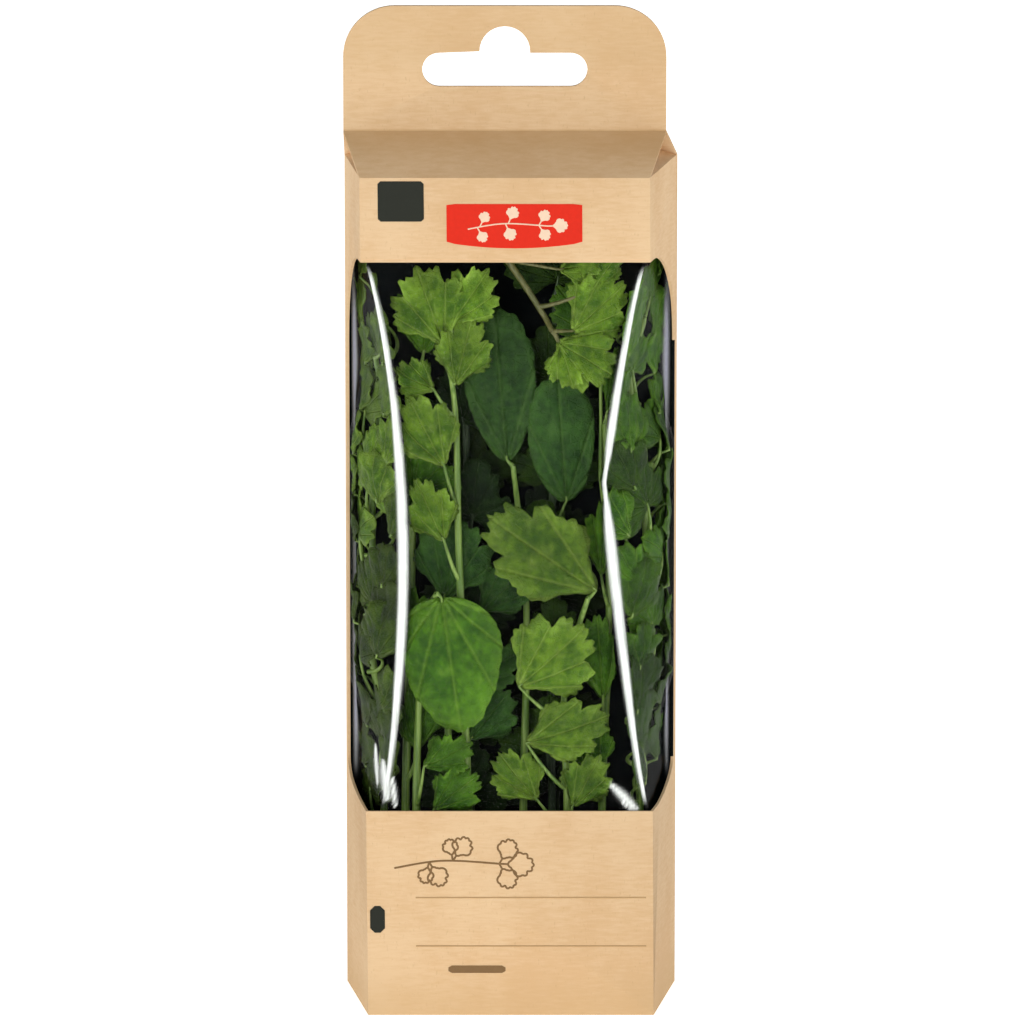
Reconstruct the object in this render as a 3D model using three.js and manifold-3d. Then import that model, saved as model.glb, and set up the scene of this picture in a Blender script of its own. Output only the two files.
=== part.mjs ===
// A bunch of cut coriander in a windowed kraft paperboard carton with a hanging header.
// Millimetres. X runs across the carton, Y from its front to its back, Z up from the surface it stands on.
import * as THREE from "three";
import { mergeVertices } from "three/addons/utils/BufferGeometryUtils.js";
import Module from "manifold-3d";

const wasm = await Module();
wasm.setup();
const { Manifold } = wasm;

// Carton
const board = 0.5; // paperboard thickness
const bodyHeight = 167; // floor to the shoulder folds
const backHalf = 32.5; // half width of the back panel
const frontHalf = 28; // half width of the front panel
const packDepth = 26; // front panel to back panel, outside
const lean = 1.2; // the shoulder of the front panel and the header stand this far to the left
const gableRise = 7; // shoulder folds to the header's foot
const gussetDepth = 12.5; // how far the side folds reach in under the header
const headerHalf = 31.3;
const headerHeight = 24.5;
const headerCorner = 10;
const headerThick = 1; // two plies glued together

// Hanging slot of the header
const slotWidth = 32;
const slotHeight = 6.6;
const slotFoot = 8.7; // header's foot to the slot's lower edge
const crownRadius = 4.9; // round top in the middle of the slot
const crownRise = 0.3; // its centre above the slot's upper edge

// Window cut through the front panel and both side walls
const windowFoot = 41.2;
const windowHead = 150.4;
const windowLip = 2.5; // board left standing along the back fold
const windowFootRise = 5.3; // the lower edge climbs this much towards the back
const windowHeadDrop = 20; // the upper edge falls this much towards the back
const footLevel = 1; // run behind the front panel before the lower edge starts to climb
const headLevel = 3; // the same before the upper edge starts to fall

// Window film
const filmThick = 0.3;
const filmGap = 0.35; // clearance to the inside of the board
const filmOverlap = 5; // glued margin above and below the window
const filmBulge = 2.5; // how far the film stands proud of the front panel
const foldInset = 0.75; // front corner of the carton to the film's fold, at the ends of the window
const endInset = 1.2; // back corner of the carton to the film's back edge
const pinchLeft = 6.6; // how far each front fold of the film draws in at mid height
const pinchRight = 8.3;
const footPinch = 2; // how far the left one is drawn in at the window's foot already
const kinkShare = 0.6; // the right fold bends in a kink at this share of the window's height
const sideSwell = 4; // how far the film bows out at the sides
const swellShare = 0.53; // and this share of how far its front fold is drawn in comes on top
const lipShare = 0.1; // share of the side film's run that lies flat behind the lip at the back fold
const sideSwellFoot = 50; // height where that starts, and where it ends
const sideSwellHead = 128;
const sideSwellEase = 20;

const yBack = (packDepth + filmBulge) / 2;
const yFront = yBack - packDepth;
const yHeader = (yFront + yBack) / 2;
const headerFoot = bodyHeight + gableRise;

// Coriander
const bladeThick = 0.6;
const lastLayer = 4; // the sprigs lie in layers, one behind the other, counted from 0 at the film
const layerPitch = 4.6;
const firstLayer = -8.9; // depth of the leaves just behind the film
const forwardSwell = 2.4; // those bulge forward with the film, and each layer behind bulges less
const forwardFade = 0.8;
const forwardHalf = 21; // half width over which they do
const stemSink = 2.3; // stems run this far behind the leaves of their layer
const stemFoot = 1.6; // height of the cut ends, just above the carton's bottom
const stemRadius = 0.9;
const stemSteps = 6;
const petioleRadius = 0.5;
const petioleTip = 0.22; // radius where it runs out inside the blade
const petioleRoot = 0.8; // length inside the blade
const petioleSteps = 3;
const trefoilTurn = 80; // degrees from the middle leaflet of a three-part leaf to those beside it
const edgeCurl = 3.6; // leaves at the sides of the pack bend back
const curlStart = 12;
const curlEnd = 30;
const pressGaps = [1.5, 4.2, 6]; // room left beside layers 0, 1 and the rest, for the film and side sprigs
const pressRange = 4; // strip in which leaves are pressed in from the side
const sideGap = 1.8; // film to the leaves of a side sprig
const sideFollow = 0.75; // share of the side film's bow that they follow
const sideFront = 5; // front fold to the nearest reach of a side sprig
const sideMiddle = 14.5;

// Sprigs that fill the pack behind those placed by hand
const fillSeed = 7;
const fillGreens = ["dark", "mid", "mid", "dark", "dark", "mid", "light", "mid"];
const laneCentre = 8.5;
const leafFoot = 42;
const leafPitch = 25;
const densePitch = 18.5; // of the fill layer that shows most, between the front leaves
const leafStalk = 8; // petiole's fall from its leaf to the stem
const sideLeafFoot = 45;
const sideStagger = 4;

const kraft = new THREE.MeshStandardMaterial({ name: "kraft_board", color: 0xdcb98a, roughness: 0.85 });
const film = new THREE.MeshStandardMaterial({
  name: "clear_film", color: 0xf2f6f4, roughness: 0.08, transparent: true, opacity: 0.2,
});
const leafGreens = {
  light: new THREE.MeshStandardMaterial({ name: "leaf_light", color: 0x5d8a36, roughness: 0.55 }),
  mid: new THREE.MeshStandardMaterial({ name: "leaf_mid", color: 0x3f7022, roughness: 0.55 }),
  dark: new THREE.MeshStandardMaterial({ name: "leaf_dark", color: 0x2a4f22, roughness: 0.55 }),
};

// Turns a closed geometry into a solid, and a solid back into a geometry
function solidFrom(geometry) {
  const bare = new THREE.BufferGeometry().setAttribute("position", geometry.getAttribute("position"));
  if (geometry.index) bare.setIndex(geometry.index);
  const merged = mergeVertices(bare, 1e-4);
  return new Manifold(
    new wasm.Mesh({
      numProp: 3,
      vertProperties: new Float32Array(merged.attributes.position.array),
      triVerts: new Uint32Array(merged.index.array),
    }),
  );
}

function geometryFrom(solid) {
  const { vertProperties, triVerts } = solid.getMesh();
  const geometry = new THREE.BufferGeometry();
  geometry.setAttribute("position", new THREE.BufferAttribute(new Float32Array(vertProperties), 3));
  geometry.setIndex(new THREE.BufferAttribute(new Uint32Array(triVerts), 1));
  geometry.computeVertexNormals();
  return geometry;
}

function solidFromFaces(points, faces) {
  const geometry = new THREE.BufferGeometry();
  geometry.setAttribute("position", new THREE.Float32BufferAttribute(points.flat(), 3));
  geometry.setIndex(faces.flat());
  return solidFrom(geometry);
}

// A panel of board: its outer face is given anticlockwise as seen from outside
function panel(corners, thick = board) {
  const outer = corners.map((c) => new THREE.Vector3(...c));
  const inward = new THREE.Vector3()
    .crossVectors(outer[1].clone().sub(outer[0]), outer[2].clone().sub(outer[0]))
    .normalize()
    .multiplyScalar(-thick);
  const inner = outer.map((p) => p.clone().add(inward));
  const n = corners.length;
  const faces = [];
  for (let i = 1; i < n - 1; i++) faces.push([0, i, i + 1], [n, n + i + 1, n + i]);
  for (let i = 0; i < n; i++) {
    const j = (i + 1) % n;
    faces.push([i, n + i, n + j], [i, n + j, j]);
  }
  return solidFromFaces([...outer, ...inner].map((p) => p.toArray()), faces);
}

// An outline in the Y-Z plane, cut straight across the carton
function acrossCarton(shape, width) {
  const geometry = new THREE.ExtrudeGeometry(shape, { depth: width, bevelEnabled: false, curveSegments: 8 });
  const turn = new THREE.Matrix4().makeBasis(
    new THREE.Vector3(0, 1, 0),
    new THREE.Vector3(0, 0, 1),
    new THREE.Vector3(1, 0, 0),
  );
  return solidFrom(geometry.applyMatrix4(turn).translate(-width / 2, 0, 0));
}

function windowCutter() {
  const reach = yBack - windowLip;
  const clear = yFront - packDepth / 4;
  const footStart = yFront + footLevel;
  const headStart = yFront + headLevel;
  const shape = new THREE.Shape();
  shape.moveTo(clear, windowFoot);
  shape.lineTo(footStart, windowFoot);
  const footCentre = windowFoot + windowFootRise;
  shape.absellipse(footStart, footCentre, reach - footStart, windowFootRise, -Math.PI / 2, 0, false);
  const headCentre = windowHead - windowHeadDrop;
  shape.absellipse(headStart, headCentre, reach - headStart, windowHeadDrop, 0, Math.PI / 2, false);
  shape.lineTo(clear, windowHead);
  return acrossCarton(shape, 4 * backHalf);
}

function slotOutline() {
  const end = slotHeight / 2;
  const half = slotWidth / 2;
  const middle = slotFoot + end;
  const top = slotFoot + slotHeight;
  const outline = new THREE.Path();
  outline.moveTo(-half + end, slotFoot);
  outline.lineTo(half - end, slotFoot);
  outline.absarc(half - end, middle, end, -Math.PI / 2, Math.PI / 2, false);
  outline.lineTo(crownRadius, top);
  outline.absarc(0, top + crownRise, crownRadius, 0, Math.PI, false);
  outline.lineTo(-half + end, top);
  outline.absarc(-half + end, middle, end, Math.PI / 2, (3 * Math.PI) / 2, false);
  return outline;
}

function header() {
  const sunk = 0.8; // foot sunk into the gable folds
  const shape = new THREE.Shape();
  shape.moveTo(-headerHalf, -sunk);
  shape.lineTo(headerHalf, -sunk);
  shape.lineTo(headerHalf, headerHeight - headerCorner);
  const xCorner = headerHalf - headerCorner;
  const zCorner = headerHeight - headerCorner;
  shape.absarc(xCorner, zCorner, headerCorner, 0, Math.PI / 2, false);
  shape.absarc(-xCorner, zCorner, headerCorner, Math.PI / 2, Math.PI, false);
  shape.holes.push(slotOutline());
  const options = { depth: headerThick, bevelEnabled: false, curveSegments: 8 };
  const geometry = new THREE.ExtrudeGeometry(shape, options);
  geometry.rotateX(Math.PI / 2).translate(-lean, yHeader + headerThick / 2, headerFoot);
  return solidFrom(geometry);
}

function carton() {
  const frontFoot = (side) => [side * frontHalf, yFront, 0];
  const frontHead = (side) => [side * frontHalf - lean, yFront, bodyHeight];
  const backFoot = (side) => [side * backHalf, yBack, 0];
  const backHead = (side) => [side * backHalf, yBack, bodyHeight];
  const headerEnd = (side, y) => [side * headerHalf - lean, y, headerFoot];
  const gussetHeel = (side) => [side * backHalf, yBack - board / 2, bodyHeight];
  const gussetTip = (side) => [side * (headerHalf - gussetDepth) - lean, yHeader, headerFoot - board];
  const yFrontPly = yHeader - headerThick / 2;
  const yBackPly = yHeader + headerThick / 2;
  const walls = [
    panel([frontFoot(-1), frontFoot(1), frontHead(1), frontHead(-1)]),
    panel([frontFoot(1), backFoot(1), backHead(1), frontHead(1)]),
    panel([backFoot(-1), frontFoot(-1), frontHead(-1), backHead(-1)]),
  ];
  const closed = [
    panel([backFoot(1), backFoot(-1), backHead(-1), backHead(1)]),
    panel([frontFoot(1), frontFoot(-1), backFoot(-1), backFoot(1)], 2 * board),
    panel([frontHead(-1), frontHead(1), headerEnd(1, yFrontPly), headerEnd(-1, yFrontPly)]),
    panel([backHead(1), backHead(-1), headerEnd(-1, yBackPly), headerEnd(1, yBackPly)]),
    panel([frontHead(1), gussetHeel(1), gussetTip(1)]),
    panel([gussetHeel(-1), frontHead(-1), gussetTip(-1)]),
    header(),
  ];
  return Manifold.union([Manifold.union(walls).subtract(windowCutter()), ...closed]);
}

// Height within the window from 0 at its foot to 1 at its head
const windowShare = (z) => THREE.MathUtils.clamp((z - windowFoot) / (windowHead - windowFoot), 0, 1);
const fullness = 0.8; // below 1, the film reaches its full bulge sooner
const midSwell = (z) => Math.sin(Math.PI * windowShare(z)) ** fullness;
const kinked = (z) => Math.min(windowShare(z) / kinkShare, (1 - windowShare(z)) / (1 - kinkShare)) ** fullness;

// Front fold of the film at a height: the left one bends in an arc, the right one in a kink
function foldX(side, z) {
  const leftPinch = pinchLeft * midSwell(z) + footPinch * (1 - windowShare(z)) ** 4;
  const pinch = side < 0 ? leftPinch : pinchRight * kinked(z);
  return side * (frontHalf - foldInset - pinch) - (lean * z) / bodyHeight;
}

// How far the side film bows out at a height, at a share of its run from the back edge to the front fold
function sideBow(side, z, share) {
  const { clamp, smoothstep } = THREE.MathUtils;
  const low = smoothstep(z, sideSwellFoot, sideSwellFoot + sideSwellEase);
  const high = 1 - smoothstep(z, sideSwellHead - sideSwellEase, sideSwellHead);
  const free = clamp((share - lipShare) / (1 - lipShare), 0, 1);
  const swell = sideSwell + swellShare * (frontHalf - foldInset - Math.abs(foldX(side, z)));
  return swell * low * high * Math.sin(Math.PI * free) * Math.sqrt(1 - free);
}

// Outer face of the film at one height: side wall, front fold, bowed front, front fold, side wall
function filmSection(z, sideShares, frontSteps) {
  const inset = board + filmGap;
  const swell = midSwell(z);
  const yFold = yFront + inset;
  const yCrest = yFold - (inset + filmBulge) * swell;
  const fold = (side) => foldX(side, z);
  const end = (side) => [side * (backHalf - endInset), yBack - inset];
  const sidePoint = (side, f) => {
    const [xEnd, yEnd] = end(side);
    const x = THREE.MathUtils.lerp(xEnd, fold(side), f) + side * sideBow(side, z, f);
    return [x, THREE.MathUtils.lerp(yEnd, yFold, f), z];
  };
  const points = [];
  for (const share of sideShares) points.push(sidePoint(-1, share));
  for (let i = 1; i < frontSteps; i++) {
    const x = THREE.MathUtils.lerp(fold(-1), fold(1), i / frontSteps);
    points.push([x, yFold - (yFold - yCrest) * Math.sin((Math.PI * i) / frontSteps), z]);
  }
  for (const share of [...sideShares].reverse()) points.push(sidePoint(1, share));
  return points;
}

// A sheet lofted through sections, thickened towards the inside of the pack
function windowFilm() {
  const steps = 10;
  const heights = [windowFoot - filmOverlap];
  for (let j = 0; j <= steps; j++) heights.push(THREE.MathUtils.lerp(windowFoot, windowHead, j / steps));
  heights.push(windowHead + filmOverlap);
  const rows = heights.length - 1;
  const outer = heights.map((z) => filmSection(z, [0, lipShare, 0.3, 0.5, 0.75, 1], 6));
  const columns = outer[0].length;
  const inward = (section, i) => {
    const [xa, ya] = section[Math.max(i - 1, 0)];
    const [xb, yb] = section[Math.min(i + 1, columns - 1)];
    const length = Math.hypot(xb - xa, yb - ya);
    return [(-(yb - ya) / length) * filmThick, ((xb - xa) / length) * filmThick];
  };
  const points = outer.flat();
  outer.forEach((section) =>
    section.forEach(([x, y, z], i) => {
      const [dx, dy] = inward(section, i);
      points.push([x + dx, y + dy, z]);
    }),
  );
  const at = (j, i, inside) => inside * columns * (rows + 1) + j * columns + i;
  const faces = [];
  const quad = (a, b, c, d) => faces.push([a, b, c], [a, c, d]);
  for (let j = 0; j < rows; j++)
    for (let i = 0; i < columns - 1; i++) {
      quad(at(j, i, 0), at(j, i + 1, 0), at(j + 1, i + 1, 0), at(j + 1, i, 0));
      quad(at(j, i, 1), at(j + 1, i, 1), at(j + 1, i + 1, 1), at(j, i + 1, 1));
    }
  for (let i = 0; i < columns - 1; i++) {
    quad(at(0, i, 0), at(0, i, 1), at(0, i + 1, 1), at(0, i + 1, 0));
    quad(at(rows, i, 0), at(rows, i + 1, 0), at(rows, i + 1, 1), at(rows, i, 1));
  }
  for (let j = 0; j < rows; j++) {
    quad(at(j, 0, 0), at(j + 1, 0, 0), at(j + 1, 0, 1), at(j, 0, 1));
    const last = columns - 1;
    quad(at(j, last, 0), at(j, last, 1), at(j + 1, last, 1), at(j + 1, last, 0));
  }
  return solidFromFaces(points, faces);
}

// The side film at one height: its front fold, and the unit direction and length from there to its back end
function sideRun(side, z) {
  const section = filmSection(z, [0, 1], 2);
  const [xEnd, yEnd] = side < 0 ? section[0] : section[section.length - 1];
  const [xFold, yFold] = side < 0 ? section[1] : section[section.length - 2];
  const length = Math.hypot(xEnd - xFold, yEnd - yFold);
  return { xFold, yFold, dx: (xEnd - xFold) / length, dy: (yEnd - yFold) / length, length };
}

// Sprigs are laid out flat, as [across, depth, height], and then take their place in the pack.
// In a layer across the pack, the front ones swell with the film, all bend back towards the sides, and what
// would reach past the side is pressed in.
function inLayer(layer) {
  const gap = pressGaps[Math.min(layer, pressGaps.length - 1)];
  return ([x, depth, z]) => {
    const most = Math.max(0, forwardSwell - forwardFade * layer);
    const forward = most * midSwell(z) * Math.max(0, Math.cos((Math.PI * x) / (2 * forwardHalf)));
    const edge = THREE.MathUtils.clamp((Math.abs(x) - curlStart) / (curlEnd - curlStart), 0, 1.2);
    const curl = edgeCurl * edge * edge * (1 - layer / lastLayer);
    const y = depth + firstLayer + layerPitch * layer - forward + curl;
    const side = Math.sign(x) || 1;
    const { xFold, yFold, dx, dy } = sideRun(side, z);
    const limit = Math.abs(xFold + (dx / dy) * Math.max(y - yFold, 0)) - gap;
    const beyond = Math.abs(x) - (limit - pressRange);
    return [beyond <= 0 ? x : side * (limit - pressRange * (1 - Math.tanh(beyond / pressRange))), y, z];
  };
}

// Against a side wall, leaves face out through its window and bow out with its film
function alongSide(side) {
  return ([across, depth, z]) => {
    const { xFold, yFold, dx, dy, length } = sideRun(side, z);
    const run = THREE.MathUtils.clamp(sideMiddle + side * across, sideFront, length - 1.6);
    const inward = depth + sideGap;
    const out = sideFollow * sideBow(side, z, 1 - run / length);
    return [xFold + dx * run - side * (dy * inward - out), yFold + dy * run + side * dx * inward, z];
  };
}

// Half outline of a coriander leaflet about a point on its midrib, from the tip to the base: turn in
// degrees, reach as a share of its length
const leafletHub = 0.38;
const leafletHalf = [
  [0, 0.62], [11, 0.53], [22, 0.6], [37, 0.4], [54, 0.56], [67, 0.46], [82, 0.51], [122, 0.31],
];

// The same of an old leaf, which is rounder and has hardly a lobe
const oldLeafHalf = [
  [0, 0.62], [20, 0.6], [42, 0.54], [66, 0.5], [92, 0.49], [118, 0.46], [142, 0.42], [163, 0.4],
];

// Half outline of one leaflet of three that are joined in one blade, about the blade's base
const lobeHalf = [[0, 1], [9, 0.86], [17, 0.93], [25, 0.66], [34, 0.7]];
const cleftReach = 0.26;
const heelReach = 0.08; // blade behind its base
const sideLobe = 0.85; // side leaflets as a share of the middle one

// Turns and reaches about a hub become points [across, along] for a leaf of length 1
const rimPoints = (polar, hub) =>
  polar.map(([turn, reach]) => {
    const t = THREE.MathUtils.degToRad(turn);
    return [Math.sin(t) * reach, hub + Math.cos(t) * reach];
  });
const bothSides = (half) => [...half.slice(1).reverse().map(([turn, reach]) => [-turn, reach]), ...half];

const wholeShape = (half) => ({
  hub: leafletHub,
  rim: rimPoints([...bothSides(half), [180, leafletHub]], leafletHub),
});
const leafletShape = wholeShape(leafletHalf);
function trefoilShape() {
  const polar = [];
  for (const side of [-1, 0, 1]) {
    const size = side === 0 ? 1 : sideLobe;
    polar.push(...bothSides(lobeHalf).map(([turn, reach]) => [turn + side * trefoilTurn, reach * size]));
    polar.push(side < 1 ? [(side + 0.5) * trefoilTurn, cleftReach] : [180, heelReach]);
  }
  return { hub: 0, rim: rimPoints(polar, 0) };
}
const threePartLeaf = { shape: trefoilShape(), arch: 0.3, cup: 0.35 };
const oldLeaf = { shape: wholeShape(oldLeafHalf) };

// A thin blade: base at x, z, heading in degrees from straight up, arched along and cupped across its rib.
// A crown above 0 makes it broader towards its tip, and one below 0 towards its base.
function blade({ x, z, heading, long, wide = 1, crown = 0, shape = leafletShape, arch = 0.7, cup = 0.8 }) {
  const a = THREE.MathUtils.degToRad(heading);
  const place = ([across, along], side) => {
    const width = across * wide * (1 + crown * (along - 0.5));
    const u = width * long;
    const v = along * long;
    const relief = -arch * Math.sin(Math.PI * Math.min(along, 1)) + cup * (2 * width) ** 2;
    return [
      x + v * Math.sin(a) + u * Math.cos(a),
      relief + (side * bladeThick) / 2,
      z + v * Math.cos(a) - u * Math.sin(a),
    ];
  };
  const n = shape.rim.length;
  const points = [-1, 1].flatMap((side) => [...shape.rim, [0, shape.hub]].map((p) => place(p, side)));
  const faces = [];
  for (let i = 0; i < n; i++) {
    const j = (i + 1) % n;
    faces.push([n, j, i], [n + 1 + n, n + 1 + i, n + 1 + j]);
    faces.push([i, j, n + 1 + j], [i, n + 1 + j, n + 1 + i]);
  }
  return { points, faces };
}

// A stalk through points [x, depth, z], tapering from one radius to the other
function stalk(path, startRadius, endRadius, sides) {
  const points = [];
  path.forEach((p, i) => {
    const before = path[Math.max(i - 1, 0)];
    const after = path[Math.min(i + 1, path.length - 1)];
    const along = new THREE.Vector3(...after).sub(new THREE.Vector3(...before)).normalize();
    const across = new THREE.Vector3(0, 1, 0).cross(along).normalize();
    const out = new THREE.Vector3().crossVectors(along, across);
    const radius = THREE.MathUtils.lerp(startRadius, endRadius, i / (path.length - 1));
    for (let k = 0; k < sides; k++) {
      const t = (2 * Math.PI * k) / sides;
      const q = new THREE.Vector3(...p)
        .addScaledVector(across, radius * Math.cos(t))
        .addScaledVector(out, radius * Math.sin(t));
      points.push(q.toArray());
    }
  });
  const faces = [];
  const last = (path.length - 1) * sides;
  for (let i = 0; i < path.length - 1; i++)
    for (let k = 0; k < sides; k++) {
      const a = i * sides + k;
      const b = i * sides + ((k + 1) % sides);
      faces.push([a, b, b + sides], [a, b + sides, a + sides]);
    }
  for (let k = 1; k < sides - 1; k++) faces.push([0, k + 1, k], [last, last + k, last + k + 1]);
  return { points, faces };
}

// Point of a main stem, given as [x, z] points, nearest to a height
function stemPoint(stem, height) {
  const points = new THREE.SplineCurve(stem.map(([x, z]) => new THREE.Vector2(x, z))).getPoints(60);
  return points.reduce((best, p) => (Math.abs(p.y - height) < Math.abs(best.y - height) ? p : best));
}

// A leaf on a petiole that leaves the stem at a height, or ends the stem where no height is given
function leafPieces(stem, { from, ...leaf }) {
  const { x, z, heading } = leaf;
  const start = from === undefined ? new THREE.Vector2(...stem[stem.length - 1]) : stemPoint(stem, from);
  const sunk = from === undefined ? 0 : stemSink;
  const petiole = [];
  for (let i = 0; i <= petioleSteps; i++) {
    const f = i / petioleSteps;
    const height = THREE.MathUtils.lerp(start.y, z, f ** 1.3);
    petiole.push([THREE.MathUtils.lerp(start.x, x, f), sunk * (1 - f) ** 2, height]);
  }
  const a = THREE.MathUtils.degToRad(heading);
  petiole.push([x + Math.sin(a) * petioleRoot, -0.05, z + Math.cos(a) * petioleRoot]);
  return [stalk(petiole, petioleRadius, petioleTip, 4), blade(leaf)];
}

// A leafy stem: its main stem and its leaves, lying as told in the pack
function sprig({ lie, stem, leaves, radius = stemRadius }) {
  const curve = new THREE.SplineCurve(stem.map(([x, z]) => new THREE.Vector2(x, z)));
  const main = curve.getSpacedPoints(stemSteps).map((p, i) => {
    const sunk = stemSink * (1 - THREE.MathUtils.smoothstep(i / stemSteps, 0.86, 1));
    return [p.x, sunk, p.y];
  });
  const pieces = [stalk(main, radius, petioleRadius, 5), ...leaves.flatMap((leaf) => leafPieces(stem, leaf))];
  return Manifold.union(pieces.map(({ points, faces }) => solidFromFaces(points.map(lie), faces)));
}

// Sprigs that show through the front of the window, placed by hand: a leaf gives the height where it
// springs from its stem, the place of its base and its heading, and one without that height ends the stem
const seenSprigs = [
  {
    green: "light", lie: inLayer(0),
    stem: [[-7, stemFoot], [-8.5, 45], [-10.2, 95], [-10.6, 116], [-11.5, 127]],
    leaves: [
      { x: -13, z: 134, heading: -20, long: 15.5 },
      { x: -10.8, z: 126, heading: 14, long: 13.5, wide: 0.8 },
      { x: -11.5, z: 138, heading: 34, long: 12.5, wide: 0.9 },
      { from: 119, x: -15, z: 125, heading: -66, long: 8.5 },
      { from: 101, x: -13, z: 110, heading: -28, long: 15, wide: 0.85 },
      { from: 86, x: -13, z: 95, heading: -25, long: 13, wide: 0.8 },
    ],
  },
  {
    green: "light", lie: inLayer(0), radius: 0.8, stem: [[-8, 162], [-3, 153.5], [3, 144.5], [8, 136.5]],
    leaves: [
      { x: 9, z: 134.5, heading: 122, long: 13 },
      { x: 8.5, z: 134, heading: 190, long: 9, wide: 0.9 },
      { x: 12, z: 136.5, heading: 48, long: 13.5 },
      { from: 141, x: 15.5, z: 144.5, heading: 15, long: 9.5 },
      { from: 150, x: 9.5, z: 148.5, heading: 78, long: 8 },
    ],
  },
  {
    green: "light", lie: inLayer(0), stem: [[10, stemFoot], [11, 40], [10.5, 65], [15, 83.5]],
    leaves: [
      { x: 16.6, z: 85, heading: -54, long: 26, wide: 0.68 },
      { from: 58, x: 1.5, z: 66, heading: 48, long: 17.5 },
      { from: 45, x: 3, z: 54.5, heading: 72, long: 17, wide: 0.72 },
      { from: 36, x: 5, z: 43, heading: -38, long: 12, wide: 0.85 },
      { from: 34, x: 12, z: 41.5, heading: 28, long: 11.5, wide: 0.85 },
    ],
  },
  {
    green: "mid", lie: inLayer(0), stem: [[-18, stemFoot], [-18.5, 45], [-17, 75], [-14.5, 84.5]],
    leaves: [
      { x: -13.5, z: 83.5, heading: 172, long: 27, wide: 0.76, crown: -0.35, ...oldLeaf },
      { from: 42, x: -17, z: 49.5, heading: 62, long: 10.5, wide: 0.8 },
      { from: 34, x: -15, z: 41, heading: 50, long: 11, wide: 0.85 },
    ],
  },
  {
    green: "dark", lie: inLayer(1), stem: [[2, stemFoot], [2.5, 45], [3, 80], [1.4, 109]],
    leaves: [
      { x: 1.4, z: 110.4, heading: -8, long: 30, wide: 0.52, crown: 0.7, ...oldLeaf },
      { from: 86, x: 11.3, z: 102, heading: -4, long: 25, wide: 0.58, crown: 0.5, ...oldLeaf },
      { from: 62, x: 4, z: 70, heading: 58, long: 9, wide: 0.9 },
    ],
  },
  {
    green: "dark", lie: inLayer(1), stem: [[-13, stemFoot], [-12.5, 45], [-12, 70], [-13, 82]],
    leaves: [
      { x: -13, z: 82.5, heading: 12, long: 16 },
      { from: 73, x: -6, z: 80, heading: 48, long: 12.5, wide: 0.8 },
      { from: 60, x: -9, z: 66, heading: 62, long: 12, wide: 0.85 },
      { from: 48, x: -8, z: 54, heading: 38, long: 12.5, wide: 0.85 },
    ],
  },
  {
    green: "mid", lie: inLayer(1), stem: [[17.5, stemFoot], [18, 45], [19.5, 80], [20, 117]],
    leaves: [
      { x: 20.5, z: 119, heading: 25, long: 14, wide: 0.9 },
      { from: 80, x: 18, z: 87, heading: 12, long: 15, wide: 0.8 },
      { from: 52, x: 18, z: 62, heading: -4, long: 17, wide: 0.6 },
      { from: 96, x: 17, z: 134, heading: -38, long: 13, wide: 0.8 },
      { from: 40, x: 17, z: 47, heading: -18, long: 12, wide: 0.85 },
    ],
  },
  {
    green: "mid", lie: inLayer(1), stem: [[-21, stemFoot], [-20.5, 60], [-19, 110], [-17.5, 129]],
    leaves: [
      { x: -17, z: 131, heading: 4, long: 15, wide: 0.95 },
      { from: 96, x: -19.5, z: 103, heading: -12, long: 12, ...threePartLeaf },
      { from: 66, x: -19, z: 72, heading: -16, long: 13, wide: 0.9 },
      { from: 44, x: -18, z: 52, heading: -12, long: 13 },
    ],
  },
];

// A stem with leaves of three leaflets, one above the other, that lean to its left and right in turn
function leafyStem({ green, lie, x, foot, pitch, count, long, sway, tilt, random }) {
  const vary = (spread) => (random() * 2 - 1) * spread;
  const top = foot + pitch * (count - 1);
  const leaves = [];
  for (let k = 0; k < count; k++) {
    const turn = k % 2 ? 1 : -1;
    const z = foot + pitch * k + vary(1.2);
    const from = k === count - 1 ? undefined : z - leafStalk;
    const heading = turn * tilt + vary(8);
    const across = x + turn * sway + vary(0.8);
    leaves.push({ from, x: across, z, heading, long: long + vary(1.2), ...threePartLeaf });
  }
  return { green, lie, leaves, stem: [[x + vary(1.5), stemFoot], [x + vary(1), top / 2], [x, top - 2]] };
}

// The rest of the bunch fills the pack behind the sprigs placed by hand: in each layer two stems side by
// side, staggered so that neighbours interlock, and one stem along each side wall
function fillSprigs() {
  const random = seeded(fillSeed);
  const sprigs = [];
  for (let layer = 2; layer <= lastLayer; layer++)
    for (const side of [-1, 1]) {
      const dense = layer === 2;
      const pitch = dense ? densePitch : leafPitch;
      const foot = leafFoot + ((layer + (side > 0)) % 2) * (pitch / 2);
      const green = fillGreens[sprigs.length];
      const place = { green, lie: inLayer(layer), x: side * laneCentre, foot, pitch };
      const size = dense ? { count: 6, long: 11.6 } : { count: layer < lastLayer ? 4 : 3, long: 12.8 };
      sprigs.push(leafyStem({ ...place, ...size, sway: 0.8, tilt: 5, random }));
    }
  for (const side of [-1, 1]) {
    const green = fillGreens[sprigs.length];
    const place = { green, lie: alongSide(side), x: 0, foot: sideLeafFoot + side * sideStagger };
    sprigs.push(leafyStem({ ...place, pitch: 12.8, count: 8, long: 12.4, sway: 3.4, tilt: 24, random }));
  }
  return sprigs;
}

// Repeatable random numbers from 0 to 1
function seeded(seed) {
  let state = seed;
  return () => {
    state = (Math.imul(state, 1664525) + 1013904223) >>> 0;
    return state / 4294967296;
  };
}

const group = new THREE.Group();
function add(name, solid, material) {
  const mesh = new THREE.Mesh(geometryFrom(solid), material);
  mesh.name = name;
  group.add(mesh);
}

add("carton", carton(), kraft);
add("window_film", windowFilm(), film);
[...seenSprigs, ...fillSprigs()].forEach((branch, i) =>
  add(`sprig_${String(i + 1).padStart(2, "0")}`, sprig(branch), leafGreens[branch.green]),
);

export default group;
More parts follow.
